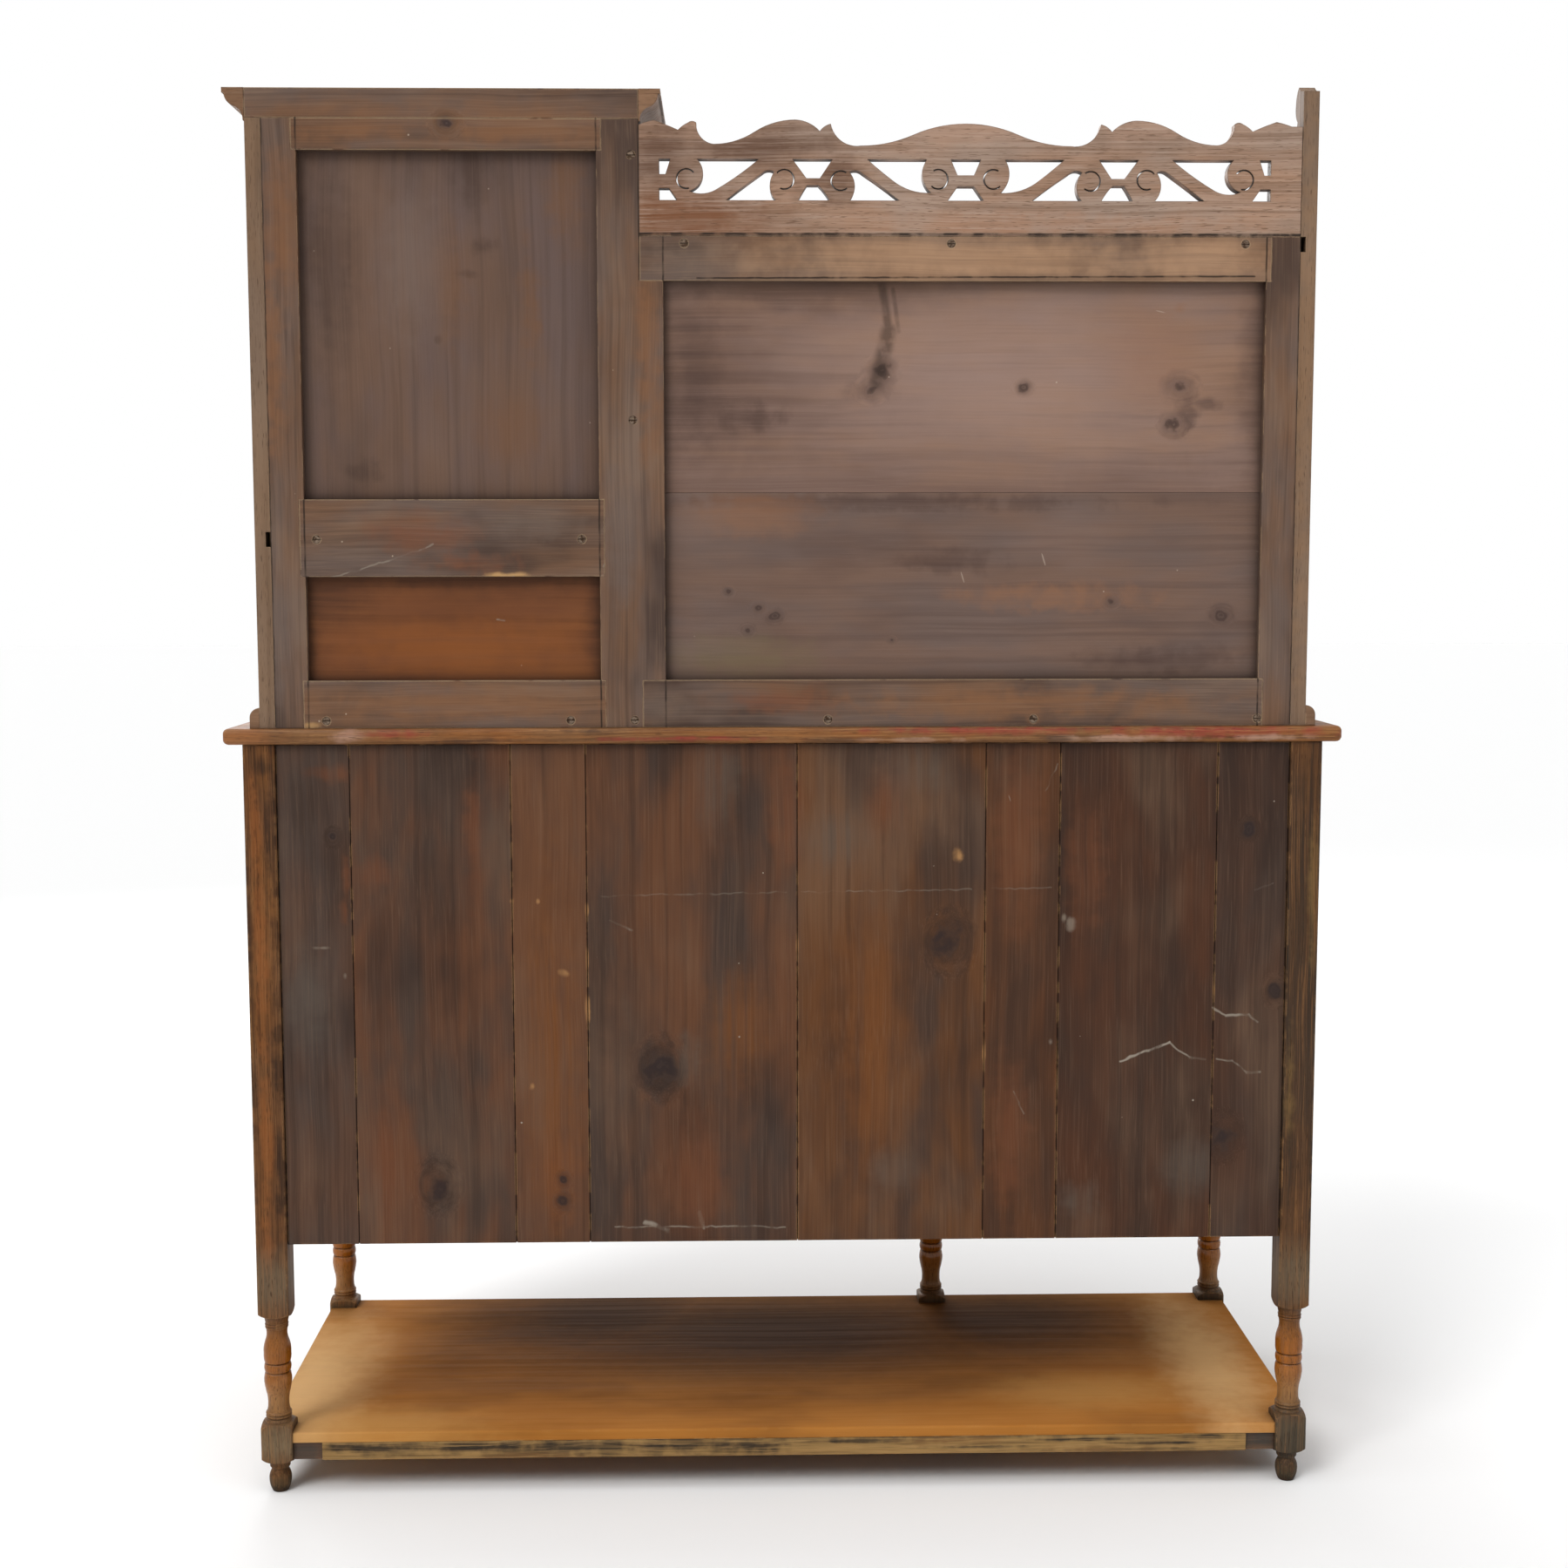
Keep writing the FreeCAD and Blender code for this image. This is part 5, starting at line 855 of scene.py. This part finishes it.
# Bleached oak: paler and drier than the front, with fine dark pores
side_boards = wood(
    "side boards, bleached oak", ("#745f4f", "#7d624b", "#503d2e", "#9a826c"), "Z", band=8.0, fleck=0.14,
    washes=(("#96714f", 0.4, ((-632, 1400, 14, 330),)),), pore="#4a382b", wear=("#a88b6c", 1.6, 0.18),
    grime=("#2d2018", 20.0, 0.7))
# Planed oak moulding: a little smoother than the boards, so its curves catch soft highlights
moulding_oak = wood(
    "cornice oak", ("#7c5f49", "#856146", "#553d2b", "#a98f78"), "X", band=6.0, fleck=0.14, pore="#4a3424",
    wear=("#b3987c", 2.0, 0.18), grime=("#2b1e17", 16.0, 0.7), rough=(0.44, 0.6))
# Sawn oak: a pale, pinkish brown full of dark pores, with dark edges round every opening
gallery_oak = wood(
    "sawn oak, open pores", ("#9f8878", "#a5836c", "#6f533f", "#bba596"), "X", cloud=50.0, band=5.0,
    streak=0.5, fleck=0.4,
    washes=(("#5f4435", 0.9, ((150, 1655, 50, 50), (30, 1665, 100, 34), (-60, 1630, 40, 30))),
            ("#74472a", 0.95, ((130, 1582, 120, 40),)), ("#a5704c", 0.4, ((-330, 1575, 180, 14),)),
            ("#b8957f", 0.5, ((-240, 1690, 110, 20), (-430, 1690, 70, 25)))),
    pore="#5a3f2c", seams=((174, 1564, -621, 1564, 2.0, 1.0),), wear=("#5c4433", 1.6, 0.3),
    grime=("#2e1f15", 18.0, 1.0), rough=(0.46, 0.62))
print("woods of the upper part:", side_boards.name, "/", moulding_oak.name, "/", gallery_oak.name)

# %% [markdown]
# The legs were turned between square blocks and varnished. Stain rubs off the rounds first, so the stems are
# amber and shiny while the blocks stayed dark. Those bands lie at one height on every leg, so they are spots
# wider than the dresser. The pot board is painted darker in the middle, as the shade of the carcass above,
# and lighter towards its ends, as the light that comes in from the sides.

# %% Woods of the legs and the pot board
# A half width that takes in every leg
ALL_LEGS = 4000
STEM_BAND = (0, 160, ALL_LEGS, 56)

# Varnished turned oak: amber, shiny stems between dull dark blocks, streaked with worn orange and black,
# with its grooves darkened, part dirt and part painted shade
turned_oak = wood(
    "turned oak, varnished", ("#5d3f29", "#6f4623", "#332013", "#96693f"), "Z", cloud=40.0, band=5.0,
    streak=0.7, fleck=0.4,
    washes=(("#8a5229", 0.7, ((648, 700, 9, 170), (651, 850, 8, 70), (646, 470, 9, 70), (648, 330, 8, 50))),
            ("#2b1d15", 0.9, ((629, 560, 8, 90), (630, 820, 8, 100), (628, 420, 8, 80), (640, 925, 12, 12),
                              (660, 620, 5, 200))),
            ("#2f2821", 1.0, ((-643, 600, 90, 420),)),
            ("#7d6038", 0.6, ((-655, 760, 6, 90), (-632, 520, 6, 60))),
            ("#9c611b", 1.0, (STEM_BAND,)), ("#a98457", 0.6, ((0, 122, ALL_LEGS, 26),)),
            ("#75644c", 0.95, ((0, 66, ALL_LEGS, 26),)), ("#685a47", 0.8, ((0, 275, ALL_LEGS, 40),)),
            ("#3c3524", 0.95, ((0, 6, ALL_LEGS, 24),)), ("#3b362d", 0.95, ((-643, 55, 60, 50),))),
    polish=(STEM_BAND,), pore="#33200f", wear=("#a87e52", 2.0, 0.18), grime=("#1d120a", 12.0, 0.95),
    rough=(0.46, 0.6), sheen=0.12)
# Varnished pine: honey coloured and even, with a broad dark patch in the middle that is painted shade of
# the carcass above, painted light towards both ends, and hardly any gloss left
pot_board_pine = wood(
    "pot board, varnished", ("#a76c2f", "#b17536", "#6b4422", "#bd8c56"), "X", band=9.0, run=520.0,
    streak=0.1, fleck=0.08, level=True, evenness=0.95,
    # Painted shade of the carcass above, over the middle of the board
    washes=(("#382414", 0.95, ((0, -95, 460, 245), (-330, -140, 250, 200), (250, -170, 250, 200))),
            # Painted light towards both ends, where light comes in from the sides
            ("#dab07a", 0.9, ((-580, 40, 60, 250), (630, 90, 80, 250))),
            ("#cb9a58", 0.5, ((-400, 140, 130, 60), (520, 225, 140, 50)))),
    wear=("#c39a66", 2.2, 0.18), grime=("#2a1c13", 60.0, 0.7), rough=(0.6, 0.72), sheen=0.03)
print("woods below:", turned_oak.name, "/", pot_board_pine.name)

# %% [markdown]
# The picture doesn't show the front or the inside, so waxed oak and bare pine are taken for them. A door's
# rails lie level between its upright stiles. Two materials would need a cut mesh, so one wood turns its grain
# between two X values, which come from the door's own box and the width of a stile.

# %% Woods of the front and the inside
DOOR_STILE = 52.0
OAK = ("#62472f", "#6f4a2f", "#3f2b1c", "#8b6a4a")
BARE = ("#977a56", "#a5825a", "#74573a", "#bd9d74")
# Waxed oak: even brown with dark pores, pale rubbed edges and more sheen than the back
waxed = dict(band=7.0, pore="#38261a", wear=("#9c774f", 1.8, 0.18), grime=("#2a1d15", 18.0, 0.6),
             rough=(0.4, 0.56), sheen=0.3)
# Bare pine: dry and yellow, with hardly any gloss, and brown in the corners, part dirt and part painted shade
bare = dict(band=11.0, grime=("#54402c", 30.0, 0.6), rough=(0.62, 0.78))

frame_oak_level = wood("stained oak, level grain", OAK, "X", **waxed,
                       washes=(("#37322c", 0.9, ((604, 55, 26, 22), (-604, 55, 26, 22))),))
frame_oak_upright = wood("stained oak, upright grain", OAK, "Z", **waxed)
inner_pine_level = wood("bare pine inside, level grain", BARE, "X", **bare)
inner_pine_deep = wood("bare pine inside, grain to the back", BARE, "Y", **bare)


def door_oak(door):
    """Waxed oak for one door's frame, with level grain between the stiles."""
    left, right = node_box("door_%s_frame" % door)[:, 0]
    between = (left + DOOR_STILE, right - DOOR_STILE)
    return wood("stained oak, door frame " + door, OAK, "Z", span=between, **waxed)


print("woods of the front:", frame_oak_level.name, "/", frame_oak_upright.name)

# %% [markdown]
# Now every piece that keeps the joiner's shape is given its wood. A list from wood to pieces is shorter, and
# easier to check, than a material set piece by piece.

# %% Finishes of the joiner's pieces
FINISHES = (
    (old_pine_level, ("back_rails",)),
    (old_pine_upright, ("back_stiles",)),
    (side_boards, ("cupboard_outer_side", "cupboard_inner_side", "end_upright")),
    (moulding_oak, ("cornice", "base_beads")),
    (gallery_oak, ("gallery",)),
    (turned_oak, ("back_leg_left", "back_leg_right", "front_leg_left", "front_leg_middle",
                  "front_leg_right")),
    (pot_board_pine, ("pot_board",)),
    (frame_oak_level, ("pot_board_rails", "base_front_rails", "base_carcass_rails", "cupboard_frieze",
                       "display_shelf", "upper_base_boards", "drawer_short_front", "drawer_long_front")),
    (frame_oak_upright, ("base_end_panels", "door_left_panel", "door_middle_panel", "door_right_panel",
                         "door_upper_panel")),
    (inner_pine_level, ("base_floor", "inner_shelves", "cupboard_top", "cupboard_floor")),
    (inner_pine_deep, ("base_partition", "drawer_runners", "shelf_cleats", "drawer_short_box",
                       "drawer_long_box")),
    *((door_oak(door), ("door_%s_frame" % door,)) for door in ("left", "middle", "right", "upper")))


def give(name, material):
    """Puts a finish on one piece of the joiner's model."""
    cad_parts[name].data.materials.clear()
    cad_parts[name].data.materials.append(material)


for material, names in FINISHES:
    for name in names:
        give(name, material)
print(sum(len(names) for _, names in FINISHES), "pieces finished")

# %% [markdown]
# Hinges, catches, the bolt and the drawer knobs are taken as brass, handled for many years. The screws in the
# back frame are iron. Oxide could be a second material on chosen faces, but a cloud of noise, and the
# corners that no cloth reaches, put it where it really grows.

# %% Brass and iron
OXIDE_CLOUDS, OXIDE_REACH = (0.4, 0.62), 5.0


def metal(name, bright, dull, rough, grain):
    """A metal whose oxide lies in clouds and corners: the oxide is rougher and darker than the bare metal."""
    material = bpy.data.materials.new(name)
    material.use_nodes = True
    tree, shader = material.node_tree, material.node_tree.nodes["Principled BSDF"]
    place = add(tree, "TexCoord", {}, "Object")
    clouds = add(tree, "TexNoise", {"Vector": place, "Scale": 1 / (grain * MM), "Detail": 5.0})
    clouds = add(tree, "MapRange", {0: clouds, 1: OXIDE_CLOUDS[0], 2: OXIDE_CLOUDS[1]}, **EASED)
    sky = add(tree, "AmbientOcclusion", {"Distance": OXIDE_REACH * MM}, "AO", samples=2)
    corners = add(tree, "MapRange", {0: sky, 1: SKY_SEEN[0], 2: SKY_SEEN[1]}, **EASED)
    oxide = add(tree, "Math", {0: clouds, 1: corners}, operation="MAXIMUM")
    colour = add(tree, "Mix", {"Factor": oxide, "A": linear(bright), "B": linear(dull)}, data_type="RGBA")
    tree.links.new(colour, shader.inputs["Base Color"])
    roughness = add(tree, "MapRange", {0: oxide, 3: rough[0], 4: rough[1]}, **EASED)
    tree.links.new(roughness, shader.inputs["Roughness"])
    shader.inputs["Metallic"].default_value = 1.0
    return material


# Cast brass, handled: golden and bright on the rounds, brown and dull where no hand comes
aged_brass = metal("aged brass", "#b48d4c", "#5d4426", (0.24, 0.5), 9.0)
# Iron screws: a dark brown skin of oxide that hardly shines
dull_iron = metal("iron, brown oxide", "#7a6a5c", "#4a392d", (0.5, 0.7), 4.0)
brass_names = [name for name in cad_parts
               if any(word in name for word in ("hinge", "catch", "bolt", "knobs"))]
for name in brass_names:
    give(name, aged_brass)
give("back_screws", dull_iron)
print(len(brass_names), "pieces of brass")

# %% [markdown]
# A white floor and a white surround stand in for the photographer's paper. The floor takes shadow like any
# surface, and only what the lens, a reflection or glass sees of the far surround is pure white, so that the
# surround can be bright without flooding the dresser with light.

# %% Floor and surround
FLOOR_HALF, FLOOR_DROP, SURROUND_LIGHT = 30.0, 0.0005, 0.18
# Share of the light that the paper gives back, already linear
PAPER_WHITE = 0.94
PAPER_ROUGHNESS, SURROUND_WHITE = 0.9, "#ffffff"

# Matt paper: an even white that takes soft shadows and hardly reflects
paper = bpy.data.materials.new("white paper floor")
paper.use_nodes = True
shader = paper.node_tree.nodes["Principled BSDF"]
shader.inputs["Base Color"].default_value = (PAPER_WHITE, PAPER_WHITE, PAPER_WHITE, 1)
shader.inputs["Roughness"].default_value = PAPER_ROUGHNESS
mesh = bpy.data.meshes.new("floor")
corner = np.array([(-1, -1, 0), (1, -1, 0), (1, 1, 0), (-1, 1, 0)]) * FLOOR_HALF - (0, 0, FLOOR_DROP)
mesh.from_pydata(corner.tolist(), [], [(0, 1, 2, 3)])
mesh.materials.append(paper)
floor = bpy.data.objects.new("floor", mesh)
bpy.context.scene.collection.objects.link(floor)

world = bpy.data.worlds.new("white surround")
world.use_nodes = True
tree = world.node_tree
path = add(tree, "LightPath", {}).node.outputs
seen = add(tree, "Math", {0: path["Is Camera Ray"], 1: path["Is Glossy Ray"]}, operation="MAXIMUM")
seen = add(tree, "Math", {0: seen, 1: path["Is Transmission Ray"]}, operation="MAXIMUM")
strength = add(tree, "MapRange", {0: seen, 3: SURROUND_LIGHT}, **EASED)
tree.links.new(strength, tree.nodes["Background"].inputs["Strength"])
tree.nodes["Background"].inputs["Color"].default_value = linear(SURROUND_WHITE)
bpy.context.scene.world = world
print("floor", 2 * FLOOR_HALF, "m wide")

# %% [markdown]
# Two broad, even lights whiten the whole floor: one from almost straight above, and one from the left of the
# lens that gives the soft shadows in the recesses. Small lamps would light the dresser but leave the floor
# grey at its far end. Two area lamps open up the far sides.

# %% Lamps


def lamp(name, kind, place, target, power, **settings):
    """Adds a lamp at a place and points it at a target: its own Z axis looks away from the target."""
    data = bpy.data.lights.new(name, kind)
    data.energy = power
    for key, value in settings.items():
        setattr(data, key, value)
    away = np.array(place, float) - np.array(target, float)
    away /= np.linalg.norm(away)
    side = np.cross((0, 1, 0), away)
    side /= np.linalg.norm(side)
    made = bpy.data.objects.new(name, data)
    turned = Matrix(np.column_stack((side, np.cross(away, side), away))).to_4x4()
    made.matrix_world = Matrix.Translation(place) @ turned
    bpy.context.scene.collection.objects.link(made)
    print(name, kind, power)


lamp("sky", "SUN", (0.5, 0.6, 4.0), (0, 0, 0), 1.85, angle=1.2)
lamp("key", "SUN", (1.7, 2.2, 2.4), (0, 0, 0), 1.3, angle=0.4)
lamp("fill", "AREA", (-2.6, 2.4, 1.8), (0, 0.2, 0.8), 8, shape="DISK", size=2.0)
lamp("front", "AREA", (0.8, -3.6, 2.6), (0, -0.4, 0.5), 62, shape="DISK", size=2.4)
